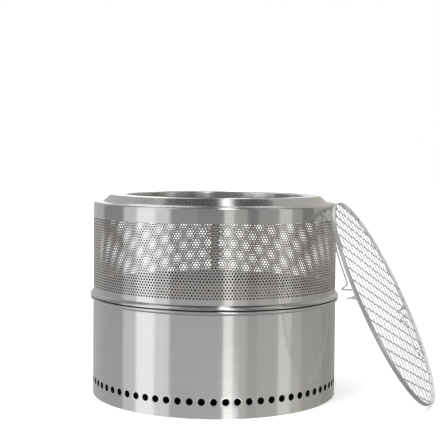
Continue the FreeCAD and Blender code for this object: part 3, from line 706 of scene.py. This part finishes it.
class FIREPIT_OT_chamber(bpy.types.Operator):
    """Model the burn chamber wall with its two rings of air holes"""
    bl_idname = "firepit.chamber"
    bl_label = "Burn chamber wall"

    def execute(self, context):
        sizes = context.scene.sheet_sizes
        radius = sizes.chamber_radius
        wide = FULL_TURN * radius / sizes.low_air_count
        narrow = FULL_TURN * radius / sizes.high_air_count
        squares = 6
        square = narrow / squares
        low_rows = 4
        low_half = low_rows * square / 2
        rim_shares = ((1.15, 0), (1, 1))
        low_rings = pressed_rings(sizes.low_air_radius, sizes.vent_press, rim_shares)
        high_rings = pressed_rings(sizes.high_air_radius, sizes.vent_press, rim_shares)
        low = holed_cell(
            "chamber_low", wide, 2 * low_half, columns=2 * squares, rows=low_rows, hole_points=32,
            hole_rings=low_rings)
        shift(low, -sizes.low_air_count / 2 * wide, sizes.low_air_height)
        repeat(low, sizes.low_air_count, (wide, 0, 0))
        high = holed_cell(
            "chamber_high", narrow, narrow, columns=squares, rows=squares, hole_points=24,
            hole_rings=high_rings)
        shift(high, -sizes.high_air_count / 2 * narrow - narrow / 2, sizes.high_air_height)
        repeat(high, sizes.high_air_count, (narrow, 0, 0))
        low_edge = sizes.low_air_height - low_half
        low_top = sizes.low_air_height + low_half
        high_low = sizes.high_air_height - narrow / 2
        high_top = sizes.high_air_height + narrow / 2
        grow_edge(low, radius, [(radius, sizes.chamber_low)], low_edge)
        rows = 3
        rise = high_low - low_top
        outline = [(radius, low_top + rise * row / rows) for row in range(1, rows + 1)]
        grow_edge(low, radius, outline, low_top)
        grow_edge(high, radius, [(radius, sizes.chamber_top)], high_top)
        wall = join([low, high])
        # The chamber's outside, seen through the vents, takes the near-black painted shade of the drum's
        # inside
        roll_up(wall, sizes.wall, finish_named("painted_drum_shade"), finish_named("chamber_inside"))
        smooth(wall)
        settle(wall, "chamber_wall", "lower_section", ["burn_chamber_wall"])
        return {"FINISHED"}


def mesh_row(name, sizes, width, pitch, first_row, rows, cells):
    """Every other row of the perforated band, as cells that lock into the rows between them."""
    reach_share = 2 / 3
    rings = [(sizes.mesh_radius, 0)]
    cell = holed_cell(
        name, width, pitch * reach_share, columns=2, rows=2, hole_points=8, hole_rings=rings)
    edit(cell)
    half = pitch * reach_share / 2
    for side in (1, -1):
        pick_points(cell, lambda co: abs(co.x) < CLOSE and abs(co.z - side * half) < CLOSE)
        bpy.ops.transform.translate(value=(0, 0, side * (pitch * reach_share - half)))
    leave_edit()
    stagger = width / 4 if first_row % 2 else -width / 4
    shift(cell, -(cells - 1) / 2 * width + stagger, sizes.mesh_low + first_row * pitch)
    repeat(cell, cells, (width, 0, 0))
    repeat(cell, rows, (0, 0, 2 * pitch))
    return cell


def pick_outline(band, test):
    """Select the edges of the band's own outline, not of its holes, whose middle passes the test."""
    bpy.ops.mesh.select_mode(type="EDGE")
    bpy.ops.mesh.select_all(action="DESELECT")
    mesh = bmesh.from_edit_mesh(band.data)
    lowest = min(mesh.verts, key=lambda point: point.co.z)
    waiting = [lowest]
    reached = {lowest}
    while waiting:
        point = waiting.pop()
        for edge in point.link_edges:
            if not edge.is_boundary:
                continue
            if test((edge.verts[0].co + edge.verts[1].co) / 2):
                edge.select = True
            other = edge.other_vert(point)
            if other not in reached:
                reached.add(other)
                waiting.append(other)
    mesh.select_flush_mode()
    bmesh.update_edit_mesh(band.data)


def finish_outline(band, cells_reach, half_width, low_corner, high_corner, edge_height):
    """Run both sides out to the seam as plain margins, then level the zigzag edge at one height."""
    edit(band)
    merge_close()
    for side in (1, -1):
        pick_outline(band, lambda co: co.x * side > cells_reach
                     and low_corner - CLOSE < co.z < high_corner + CLOSE)
        extrude_by(0, 0, 0)
        bpy.ops.transform.resize(value=(0, 1, 1), center_override=(side * half_width, 0, 0))
    if edge_height < low_corner:
        pick_outline(band, lambda co: co.z < low_corner + CLOSE)
    else:
        pick_outline(band, lambda co: co.z > high_corner - CLOSE)
    extrude_by(0, 0, 0)
    bpy.ops.transform.resize(value=(1, 1, 0), center_override=(0, 0, edge_height))
    leave_edit()


class FIREPIT_OT_shell(bpy.types.Operator):
    """Model the perforated shell with its staggered holes, plain margins and skirt"""
    bl_idname = "firepit.shell"
    bl_label = "Perforated shell"

    def execute(self, context):
        sizes = context.scene.sheet_sizes
        radius = sizes.shell_radius
        width = FULL_TURN * radius / sizes.mesh_count
        half_width = math.pi * radius
        pitch = (sizes.mesh_high - sizes.mesh_low) / (sizes.mesh_rows - 1)
        seam_cells = 3
        cells = sizes.mesh_count - seam_cells
        low_rows = sizes.mesh_rows // 2
        side_share = 1 / 3
        plain_share = 1.3
        for part, first, rows in (("low", 0, low_rows), ("high", low_rows, sizes.mesh_rows - low_rows)):
            even = mesh_row(f"shell_{part}_first", sizes, width, pitch, first, (rows + 1) // 2, cells)
            odd = mesh_row(f"shell_{part}_second", sizes, width, pitch, first + 1, rows // 2, cells)
            band = join([even, odd])
            low_corner = sizes.mesh_low + (first - side_share) * pitch
            high_corner = sizes.mesh_low + (first + rows - 1 + side_share) * pitch
            edge_height = sizes.mesh_high + plain_share * pitch
            if part == "low":
                edge_height = sizes.mesh_low - plain_share * pitch
            cells_reach = (cells / 2 - 1) * width
            finish_outline(band, cells_reach, half_width, low_corner, high_corner, edge_height)
            if part == "low":
                skirt = (sizes.bead_radius, sizes.shell_low + sizes.skirt_edge)
                outline = [(radius, sizes.skirt_top)]
                outline += arc_points(outline[0], skirt, -sizes.skirt_round, steps=6)
                outline.append((sizes.bead_radius, sizes.shell_low))
                grow_edge(band, radius, outline, edge_height)
            else:
                middle = (edge_height + sizes.shell_top) / 2
                grow_edge(band, radius, [(radius, middle), (radius, sizes.shell_top)], edge_height)
            roll_up(band, sizes.wall, finish_named("shell_brushed"), finish_named("shell_inside"))
            smooth(band)
            settle(band, f"shell_{part}", "upper_section", ["perforated_shell"])
        return {"FINISHED"}


class FIREPIT_OT_ring(bpy.types.Operator):
    """Model the pressed flame ring with its brim, slope, flat top and lip"""
    bl_idname = "firepit.ring"
    bl_label = "Flame ring"

    def execute(self, context):
        sizes = context.scene.sheet_sizes
        ring = context.scene.ring_sizes
        inside = sizes.shell_radius - sizes.wall - ring.ring_gap
        start = sizes.shell_top + ring.ring_gap
        outline = rounded([
            (inside, sizes.shell_top - ring.ring_skirt),
            (inside, start),
            (sizes.shell_radius, start),
            (sizes.shell_radius, ring.corner_height, ring.corner_round),
            (ring.slope_foot, ring.slope_foot_height, ring.press_round),
            (ring.slope_head, ring.ring_top, ring.press_round),
            (ring.opening_radius, ring.ring_top, ring.lip_round),
            (ring.opening_radius, ring.ring_top - ring.lip_length)], steps=6)
        piece = spun("flame_ring_pressed", outline, steps=240)
        thicken(piece, sizes.wall, finish_named("ring_brushed"), finish_named("wall_inside"))
        smooth(piece, degrees=40)
        settle(piece, "flame_ring_pressed", "upper_section", ["flame_ring"])
        return {"FINISHED"}


def merged_copy(node, name):
    """A copy of a CAD node with its loose triangles merged."""
    clear_selection()
    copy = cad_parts[node].copy()
    copy.data = copy.data.copy()
    bpy.context.scene.collection.objects.link(copy)
    copy.parent = None
    for key in list(copy.keys()):
        if key.startswith("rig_"):
            del copy[key]
    copy.name = name
    edit(copy)
    bpy.ops.mesh.customdata_custom_splitnormals_clear()
    merge_close()
    leave_edit()
    return copy


class FIREPIT_OT_pan(bpy.types.Operator):
    """Model the drawn ash pan and ease the edges of the burn plate over it"""
    bl_idname = "firepit.pan"
    bl_label = "Ash pan and burn plate"

    def execute(self, context):
        ring = context.scene.ring_sizes
        outline = rounded([
            (0, ring.pan_low),
            (ring.pan_radius, ring.pan_low, ring.pan_round),
            (ring.pan_radius, ring.pan_top, ring.pan_edge_round),
            (ring.pan_radius - ring.pan_edge, ring.pan_top)], steps=6)
        pan = spun("ash_pan_drawn", outline, steps=160)
        thicken(pan, ring.pan_wall, finish_named("wall_inside"), finish_named("chamber_inside"))
        smooth(pan, degrees=40)
        settle(pan, "ash_pan_drawn", "ash_pan_body", ["ash_pan"])
        plate = merged_copy("burn_plate", "burn_plate_eased")
        apply_modifier(
            plate, "BEVEL", width=ring.plate_bevel, segments=2, limit_method="ANGLE",
            angle_limit=math.radians(50))
        smooth(plate, degrees=40)
        finish = finish_named("hearth")
        settle(plate, "burn_plate_eased", "burn_plate_body", ["burn_plate"], finish)
        return {"FINISHED"}


def grate_place():
    """Matrix that takes the flat grate to where it leans, read from the hoop's own box."""
    sizes = bpy.context.scene.grate_sizes
    low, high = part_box("grate_hoop")
    outward = Vector((math.cos(sizes.towards), math.sin(sizes.towards), 0))
    sideways = Vector((-math.sin(sizes.towards), math.cos(sizes.towards), 0))
    face = outward * math.cos(sizes.lean) + Vector((0, 0, 1)) * math.sin(sizes.lean)
    upslope = face.cross(sideways)
    turn = Matrix((sideways, upslope, face)).transposed().to_4x4()
    return Matrix.Translation((low + high) / 2) @ turn


def place_on_grate(piece):
    """Lean a flat piece of the grate and keep its place in its mesh."""
    piece.matrix_world = grate_place()
    activate(piece)
    bpy.ops.object.transform_apply(location=True, rotation=True, scale=True)


def paint_hoop_light_inside(hoop, outside, inside):
    """Give a flat hoop one finish, and on the faces that look at its axis a bright copy of it that
    paints in the light those faces catch.
    """
    hoop.data.materials.append(outside)
    hoop.data.materials.append(inside)
    upright_share = 0.5
    for face in hoop.data.polygons:
        inwards = face.center.x * face.normal.x + face.center.y * face.normal.y < 0
        if inwards and abs(face.normal.z) < upright_share:
            face.material_index = 1


def crimped_wire(name, sizes, sign):
    """One full wave of a crimped wire along X, repeated to more than the grate's width."""
    clear_selection()
    sides = 8
    steps = 8
    wave = 2 * sizes.wire_pitch
    bpy.ops.mesh.primitive_circle_add(
        vertices=sides, radius=sizes.wire_radius, rotation=(0, math.pi / 2, 0))
    wire = bpy.context.object
    wire.name = name
    bpy.ops.object.transform_apply(location=True, rotation=True, scale=True)
    bpy.ops.object.mode_set(mode="EDIT")
    bpy.ops.mesh.select_all(action="SELECT")
    bpy.ops.transform.translate(value=(0, 0, sign * sizes.wire_crimp))
    for step in range(steps):
        before = math.cos(FULL_TURN * step / steps)
        after = math.cos(FULL_TURN * (step + 1) / steps)
        extrude_by(wave / steps, 0, sign * sizes.wire_crimp * (after - before))
    leave_edit()
    spare_waves = 2
    waves = 2 * math.ceil(sizes.hoop_radius / wave) + spare_waves
    shift(wire, -waves / 2 * wave, 0)
    repeat(wire, waves, (wave, 0, 0))
    return wire


def woven_family(name, sizes, sign, turn):
    """One family of crimped wires, each cut to the hoop and closed at its ends."""
    master = crimped_wire(name + "_master", sizes, sign)
    inside = sizes.hoop_radius - sizes.hoop_wall
    edge_share = 1 / 3
    each_side = int(inside / sizes.wire_pitch - edge_share)
    wires = []
    for index in range(-each_side, each_side + 1):
        wire = master.copy()
        wire.data = master.data.copy()
        bpy.context.scene.collection.objects.link(wire)
        offset = index * sizes.wire_pitch
        half = math.sqrt(inside ** 2 - (abs(offset) + sizes.wire_radius) ** 2)
        edit(wire)
        bpy.ops.mesh.select_all(action="SELECT")
        phase = sizes.wire_pitch if index % 2 else 0
        bpy.ops.transform.translate(value=(phase, offset, 0))
        for side in (1, -1):
            bpy.ops.mesh.select_all(action="SELECT")
            bpy.ops.mesh.bisect(
                plane_co=(side * half, 0, 0), plane_no=(side, 0, 0), use_fill=True, clear_outer=True)
        bpy.ops.mesh.select_all(action="SELECT")
        bpy.ops.mesh.normals_make_consistent(inside=False)
        leave_edit()
        wires.append(wire)
    bpy.data.objects.remove(master)
    family = join(wires)
    family.rotation_euler = (0, 0, turn)
    activate(family)
    bpy.ops.object.transform_apply(location=True, rotation=True, scale=True)
    place_on_grate(family)
    smooth(family, degrees=50)
    return family


class FIREPIT_OT_grate(bpy.types.Operator):
    """Model the grate's flat hoop and its two families of crimped wires"""
    bl_idname = "firepit.grate"
    bl_label = "Cooking grate"

    def execute(self, context):
        sizes = context.scene.grate_sizes
        half = sizes.hoop_height / 2
        bevel = sizes.hoop_bevel
        inner = sizes.hoop_radius - sizes.hoop_wall
        outline = rounded([
            (inner, 0),
            (inner, -half, bevel),
            (sizes.hoop_radius, -half, bevel),
            (sizes.hoop_radius, half, bevel),
            (inner, half, bevel),
            (inner, 0)], steps=3)
        hoop = spun("grate_hoop_rounded", outline, steps=160)
        # The hoop's inside faces take the painted light finish
        paint_hoop_light_inside(hoop, finish_named("hoop_finish"), finish_named("hoop_painted_light_finish"))
        place_on_grate(hoop)
        smooth(hoop, degrees=40)
        settle(hoop, "grate_hoop_rounded", "cooking_grate", ["grate_hoop"])
        for kind, sign, turn in (("long", 1, 0), ("cross", -1, math.pi / 2)):
            name = f"woven_{kind}_wires"
            wires = woven_family(name, sizes, sign, sizes.wire_turn + turn)
            # Each wire family takes its own painted light or painted shade copy of the wire finish
            finish = finish_named(f"{kind}_wire_painted_shading_finish")
            settle(wires, name, "cooking_grate", [f"grate_{kind}_wires"], finish)
        return {"FINISHED"}


def upright_bead(name, middle, width, proud, low, high):
    """A low half-round bead of weld that stands on a wall at the back."""
    clear_selection()
    bpy.ops.mesh.primitive_cylinder_add(
        vertices=12, radius=1, depth=high - low, location=(0, middle, (low + high) / 2))
    bead = bpy.context.object
    bead.scale = (width / 2, proud, 1)
    bpy.ops.object.transform_apply(location=True, rotation=True, scale=True)
    smooth(bead, degrees=50)
    bead.name = name
    return bead


def spot_weld(middle, across, up, radius, proud):
    """A shallow round spot weld on a wall at the back."""
    clear_selection()
    bpy.ops.mesh.primitive_uv_sphere_add(
        segments=14, ring_count=8, radius=radius, location=(across, middle, up))
    mark = bpy.context.object
    mark.scale = (1, proud / radius, 1)
    bpy.ops.object.transform_apply(location=True, rotation=True, scale=True)
    smooth(mark, degrees=50)
    return mark


class FIREPIT_OT_seams(bpy.types.Operator):
    """Model the welded seams at the back of the drum, the burn chamber and the shell"""
    bl_idname = "firepit.seams"
    bl_label = "Welded seams"

    def execute(self, context):
        sizes = context.scene.sheet_sizes
        seams = context.scene.seam_sizes
        weld = finish_named("weld_finish")
        width = seams.bead_width
        proud = seams.bead_proud
        margin = seams.end_margin
        high = sizes.bead_start - margin
        drum = upright_bead("drum_weld", sizes.drum_radius, width, proud, margin, high)
        settle(drum, "drum_weld", "lower_section", [], weld)
        low = sizes.chamber_low + margin
        high = sizes.chamber_top - margin
        chamber = upright_bead("chamber_weld", sizes.chamber_radius, width, proud, low, high)
        settle(chamber, "chamber_weld", "lower_section", [], weld)
        low = sizes.skirt_top + margin
        high = sizes.shell_top - margin
        shell = upright_bead("shell_weld", sizes.shell_radius, width / 2, proud, low, high)
        settle(shell, "shell_weld", "upper_section", [], weld)
        wall = math.sqrt(sizes.shell_radius ** 2 - seams.mark_reach ** 2)
        marks = []
        for row in range(seams.mark_rows):
            up = low + (high - low) * (row + 1 / 2) / seams.mark_rows
            for side in (1, -1):
                across = side * seams.mark_reach
                marks.append(spot_weld(wall, across, up, seams.mark_radius, seams.mark_proud))
        settle(join(marks), "shell_spot_welds", "upper_section", [], weld)
        return {"FINISHED"}


class FIREPIT_OT_fittings(bpy.types.Operator):
    """Finish the pieces whose solids already have their shape"""
    bl_idname = "firepit.fittings"
    bl_label = "Floors, rings and fittings"

    def execute(self, context):
        fittings = (
            # Painted shade: the drum floor, support ring and spacers take the near-black steel that
            # stands in for the shade inside the drum
            ("painted_drum_shade", ("drum_floor", "support_ring", "wall_spacers")),
            ("shell_inside", ("shell_seam_strip",)),
            # Painted shade: the seat hoop takes the dark inner steel so the seam between skirt and shelf
            # reads dark
            ("wall_inside", ("locating_collar", "seat_hoop")),
            ("hearth", ("chamber_floor", "fire_ledge")),
            ("rivet_steel_finish", ("spacer_rivets", "lug_rivets", "bail_lugs")),
            ("bail_finish", ("pan_bail",)),
            # The feet take the level wires' darker, painted shade copy of the wire
            ("long_wire_painted_shading_finish", ("grate_locating_feet",)),
            ("hoop_finish", ("grate_pointed_tabs",)))
        for finish, nodes in fittings:
            finish_nodes(nodes, finish_named(finish))
        return {"FINISHED"}


# Stage

def seen_rays(tree):
    """One for what the camera sees, the metal mirrors or clear paths pass, and zero for other light."""
    rays = tree.nodes.new("ShaderNodeLightPath").outputs
    seen = combine(tree, "MAXIMUM", rays["Is Camera Ray"], rays["Is Glossy Ray"])
    return combine(tree, "MAXIMUM", seen, rays["Is Transmission Ray"])


def studio_floor(colour):
    """A wide pale floor that keeps the shadow and grows white away from the pit."""
    width = 40
    gap = 0.05 * MM
    near_reach = 0.7
    far_reach = 2.5
    near_light = 0.35
    far_light = 1
    clear_selection()
    bpy.ops.mesh.primitive_plane_add(size=width, location=(0, 0, -gap))
    floor = bpy.context.object
    floor.name = "studio_floor"
    material = bpy.data.materials.new("studio_floor_paint")
    tree, output = bare_tree(material)
    paint = tree.nodes.new("ShaderNodeBsdfDiffuse")
    paint.inputs["Color"].default_value = (*colour, 1)
    glow = tree.nodes.new("ShaderNodeEmission")
    total = tree.nodes.new("ShaderNodeAddShader")
    place = tree.nodes.new("ShaderNodeTexCoord")
    reach = tree.nodes.new("ShaderNodeVectorMath")
    reach.operation = "LENGTH"
    tree.links.new(place.outputs["Object"], reach.inputs[0])
    light = spread(
        tree, reach.outputs["Value"], low=near_light, high=far_light, start=near_reach, end=far_reach)
    tree.links.new(combine(tree, "MULTIPLY", seen_rays(tree), light), glow.inputs["Strength"])
    tree.links.new(paint.outputs["BSDF"], total.inputs[0])
    tree.links.new(glow.outputs["Emission"], total.inputs[1])
    tree.links.new(total.outputs["Shader"], output.inputs["Surface"])
    floor.data.materials.append(material)
    floor.visible_glossy = False


def studio_world():
    """White surroundings for what the camera and the metal see, softer for the light they give."""
    soft_light = 0.55
    world = bpy.data.worlds.new("studio_world")
    bpy.context.scene.world = world
    tree, output = bare_tree(world, "ShaderNodeOutputWorld")
    background = tree.nodes.new("ShaderNodeBackground")
    background.inputs["Color"].default_value = (1, 1, 1, 1)
    strength = spread(tree, seen_rays(tree), low=soft_light, high=1, start=0, end=1)
    tree.links.new(strength, background.inputs["Strength"])
    tree.links.new(background.outputs["Background"], output.inputs["Surface"])


def light_card(card, strength, shade):
    """Make a card glow for the metal alone."""
    material = bpy.data.materials.new(card.name + "_glow")
    tree, output = bare_tree(material)
    glow = tree.nodes.new("ShaderNodeEmission")
    glow.inputs["Color"].default_value = (*shade, 1)
    glow.inputs["Strength"].default_value = strength
    tree.links.new(glow.outputs["Emission"], output.inputs["Surface"])
    material.cycles.emission_sampling = "NONE"
    card.data.materials.append(material)
    card.visible_camera = False
    card.visible_diffuse = False
    card.visible_shadow = False
    card.visible_transmission = False
    card.visible_volume_scatter = False


def round_card(name, start, end, low, high, strength, shade, distance=3.0):
    """A curved upright card round the pit, from one azimuth to another."""
    clear_selection()
    bpy.ops.mesh.primitive_plane_add(size=MM, location=CENTRE)
    card = bpy.context.object
    card.name = name
    bpy.ops.object.mode_set(mode="EDIT")
    bpy.ops.mesh.select_all(action="SELECT")
    bpy.ops.mesh.merge(type="CENTER")
    azimuth = math.radians(end)
    bpy.ops.transform.translate(
        value=(distance * math.sin(azimuth), -distance * math.cos(azimuth), low))
    extrude_by(0, 0, high - low)
    degrees_in_step = 4
    steps = max(1, int((end - start) / degrees_in_step))
    bpy.ops.mesh.select_all(action="SELECT")
    bpy.ops.mesh.spin(steps=steps, angle=math.radians(end - start), center=CENTRE, axis=(0, 0, 1))
    leave_edit()
    light_card(card, strength, shade)


def level_card(name, height, radius, across, strength, width_share=1):
    """A level round card over or under the pit, narrowed to a strip by its width share."""
    clear_selection()
    bpy.ops.mesh.primitive_circle_add(
        vertices=48, radius=radius, fill_type="NGON", location=(0, 0, height))
    card = bpy.context.object
    card.name = name
    edit(card)
    bpy.ops.mesh.select_all(action="SELECT")
    bpy.ops.transform.resize(value=(width_share, 1, 1), center_override=CENTRE)
    bpy.ops.transform.translate(value=(across, 0, 0))
    leave_edit()
    light_card(card, strength, PLAIN_CARD)


def place_cards():
    """Set up the cards that give the metal its bright and dark bands, and that nothing else sees."""
    bottom = -2.5
    horizon = -0.02
    top = 4.5
    start = -167
    # Name, azimuth where the card ends, strength below and above the horizon, shade
    cards = (
        ("card_back_left", -122, 0.50, 0.54, PLAIN_CARD),
        ("card_far_left", -89.5, 0.48, 0.30, PLAIN_CARD),
        ("card_side_left", -73.5, 0.74, 0.74, PLAIN_CARD),
        ("card_left", -54, 1.24, 1.20, COOL_CARD),
        ("card_front_left", -39.5, 0.90, 0.85, PLAIN_CARD),
        ("card_front", -15, 0.55, 0.31, PLAIN_CARD),
        ("card_middle", 7.8, 0.56, 0.24, PLAIN_CARD),
        ("card_strip", 16.3, 1.10, 0.78, WARM_CARD),
        ("card_front_right", 28.5, 0.62, 0.44, WARM_CARD),
        ("card_flag_right", 38, 0.51, 0.20, WARM_CARD),
        ("card_right", 58.5, 0.56, 0.37, WARM_CARD),
        ("card_bright_right", 72, 0.84, 0.76, WARM_CARD),
        ("card_side_right", 84, 0.62, 0.42, WARMER_CARD),
        ("card_back_right", 100, 0.49, 0.24, WARMER_CARD),
        ("card_far_right", 116, 0.45, 0.46, WARMER_CARD),
        ("card_edge_right", 169, 0.38, 0.56, WARMER_CARD),
        ("card_behind_right", 173, 0.44, 0.95, PLAIN_CARD),
        ("card_behind_dark", 176.5, 0.20, 0.16, PLAIN_CARD),
        ("card_behind_strip", 179.2, 0.20, 1.60, PLAIN_CARD),
        ("card_behind_middle", 184.8, 0.20, 0.16, PLAIN_CARD),
        ("card_behind_left", 193, 0.44, 1.60, PLAIN_CARD))
    for name, end, below, above, shade in cards:
        round_card(name + "_low", start, end, bottom, horizon, below, shade)
        round_card(name + "_high", start, end, horizon, top, above, shade)
        start = end
    # Name, first and last azimuth, lower and upper edge, strength, shade, distance
    bright_cards = (
        ("card_rim_left", -172, -150, 2.3, 4.0, 2.2, PLAIN_CARD, 2.9),
        ("card_rim_right", 152, 170, 3.1, 4.1, 1.8, WARM_CARD, 2.9),
        ("card_strip_top", 5, 21, 1.6, 4.3, 2.4, PLAIN_CARD, 2.2),
        ("card_strip_foot", 8, 21, -2.4, -0.8, 2.4, PLAIN_CARD, 2.9))
    for card in bright_cards:
        round_card(*card)
    # Name, height, radius, place across, strength, width share
    level_cards = (
        ("card_under", bottom, 3.1, 0, 0.36, 1),
        ("card_ceiling", top, 3.1, 0, 0.52, 1),
        ("card_overhead", 4.45, 2.38, 0.18, 0.11, 1),
        ("card_overhead_strip", 4.4, 2.6, 0.42, 1.9, 0.075))
    for card in level_cards:
        level_card(*card)


def place_lamps():
    """Set up the soft lamps that look at the pit."""
    aim = Vector((0, 0, 0.2))
    # Name, place, width, power
    lamps = (
        ("key_lamp", (-1.8, -2.2, 2.6), 1.6, 60),
        ("fill_lamp", (2.4, -1.6, 1.9), 1.4, 30),
        ("top_lamp", (0, 0.3, 3.0), 2.0, 35))
    for name, place, width, power in lamps:
        data = bpy.data.lights.new(name, "AREA")
        data.shape = "SQUARE"
        data.size = width
        data.energy = power
        lamp = bpy.data.objects.new(name, data)
        bpy.context.scene.collection.objects.link(lamp)
        lamp.location = place
        lamp.rotation_euler = (aim - lamp.location).to_track_quat("-Z", "Y").to_euler()
        lamp.visible_glossy = False


def photo_camera():
    """A camera at the photograph's place and angle."""
    focal_pixels = 1007.2
    picture_width_pixels = 440
    picture_middle_pixel = 220
    pit_middle_pixel = 215.22
    sensor_width = 36
    place = Vector((0, -2.0612, 0.4748))
    tilt = math.radians(3.058)
    roll = math.radians(0.547)
    yaw = math.atan((picture_middle_pixel - pit_middle_pixel) / focal_pixels)
    data = bpy.data.cameras.new("photo_camera")
    data.sensor_width = sensor_width
    data.lens = sensor_width * focal_pixels / picture_width_pixels
    camera = bpy.data.objects.new("photo_camera", data)
    bpy.context.scene.collection.objects.link(camera)
    forward = Vector((math.sin(yaw), math.cos(yaw), -math.tan(tilt))).normalized()
    right = forward.cross(Vector((0, 0, 1))).normalized()
    up = right.cross(forward)
    turned_right = right * math.cos(roll) + up * math.sin(roll)
    turned_up = up * math.cos(roll) - right * math.sin(roll)
    turn = Matrix((turned_right, turned_up, -forward)).transposed().to_4x4()
    camera.matrix_world = Matrix.Translation(place) @ turn
    bpy.context.scene.camera = camera


class FIREPIT_OT_stage(bpy.types.Operator):
    """Set up the studio floor, the surroundings, the cards, the lamps and the camera"""
    bl_idname = "firepit.stage"
    bl_label = "Studio"

    def execute(self, context):
        studio_floor(context.scene.pit_finishes.floor_colour)
        studio_world()
        place_cards()
        place_lamps()
        photo_camera()
        context.scene.view_settings.view_transform = "Standard"
        return {"FINISHED"}


class FIREPIT_PT_panel(bpy.types.Panel):
    """Lists the steps that make the fire pit"""
    bl_idname = "FIREPIT_PT_panel"
    bl_label = "Fire Pit"
    bl_space_type = "VIEW_3D"
    bl_region_type = "UI"
    bl_category = "Fire Pit"

    def draw(self, context):
        for operator in OPERATORS:
            self.layout.operator(operator.bl_idname)


GROUPS = {
    "sheet_sizes": SheetSizes,
    "ring_sizes": RingSizes,
    "grate_sizes": GrateSizes,
    "seam_sizes": SeamSizes,
    "pit_finishes": PitFinishes,
}
OPERATORS = (
    FIREPIT_OT_drum,
    FIREPIT_OT_chamber,
    FIREPIT_OT_shell,
    FIREPIT_OT_ring,
    FIREPIT_OT_pan,
    FIREPIT_OT_grate,
    FIREPIT_OT_seams,
    FIREPIT_OT_fittings,
    FIREPIT_OT_stage,
)


def register():
    """Register the classes and hang the sizes on the scene."""
    for group in GROUPS.values():
        bpy.utils.register_class(group)
    for name, group in GROUPS.items():
        setattr(bpy.types.Scene, name, bpy.props.PointerProperty(type=group))
    for operator in OPERATORS:
        bpy.utils.register_class(operator)
    bpy.utils.register_class(FIREPIT_PT_panel)


def unregister():
    """Take everything back off."""
    bpy.utils.unregister_class(FIREPIT_PT_panel)
    for operator in reversed(OPERATORS):
        bpy.utils.unregister_class(operator)
    for name, group in reversed(GROUPS.items()):
        delattr(bpy.types.Scene, name)
        bpy.utils.unregister_class(group)


def main():
    """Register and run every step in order."""
    register()
    for operator in OPERATORS:
        group, step = operator.bl_idname.split(".")
        getattr(getattr(bpy.ops, group), step)()


if __name__ == "__main__":
    main()
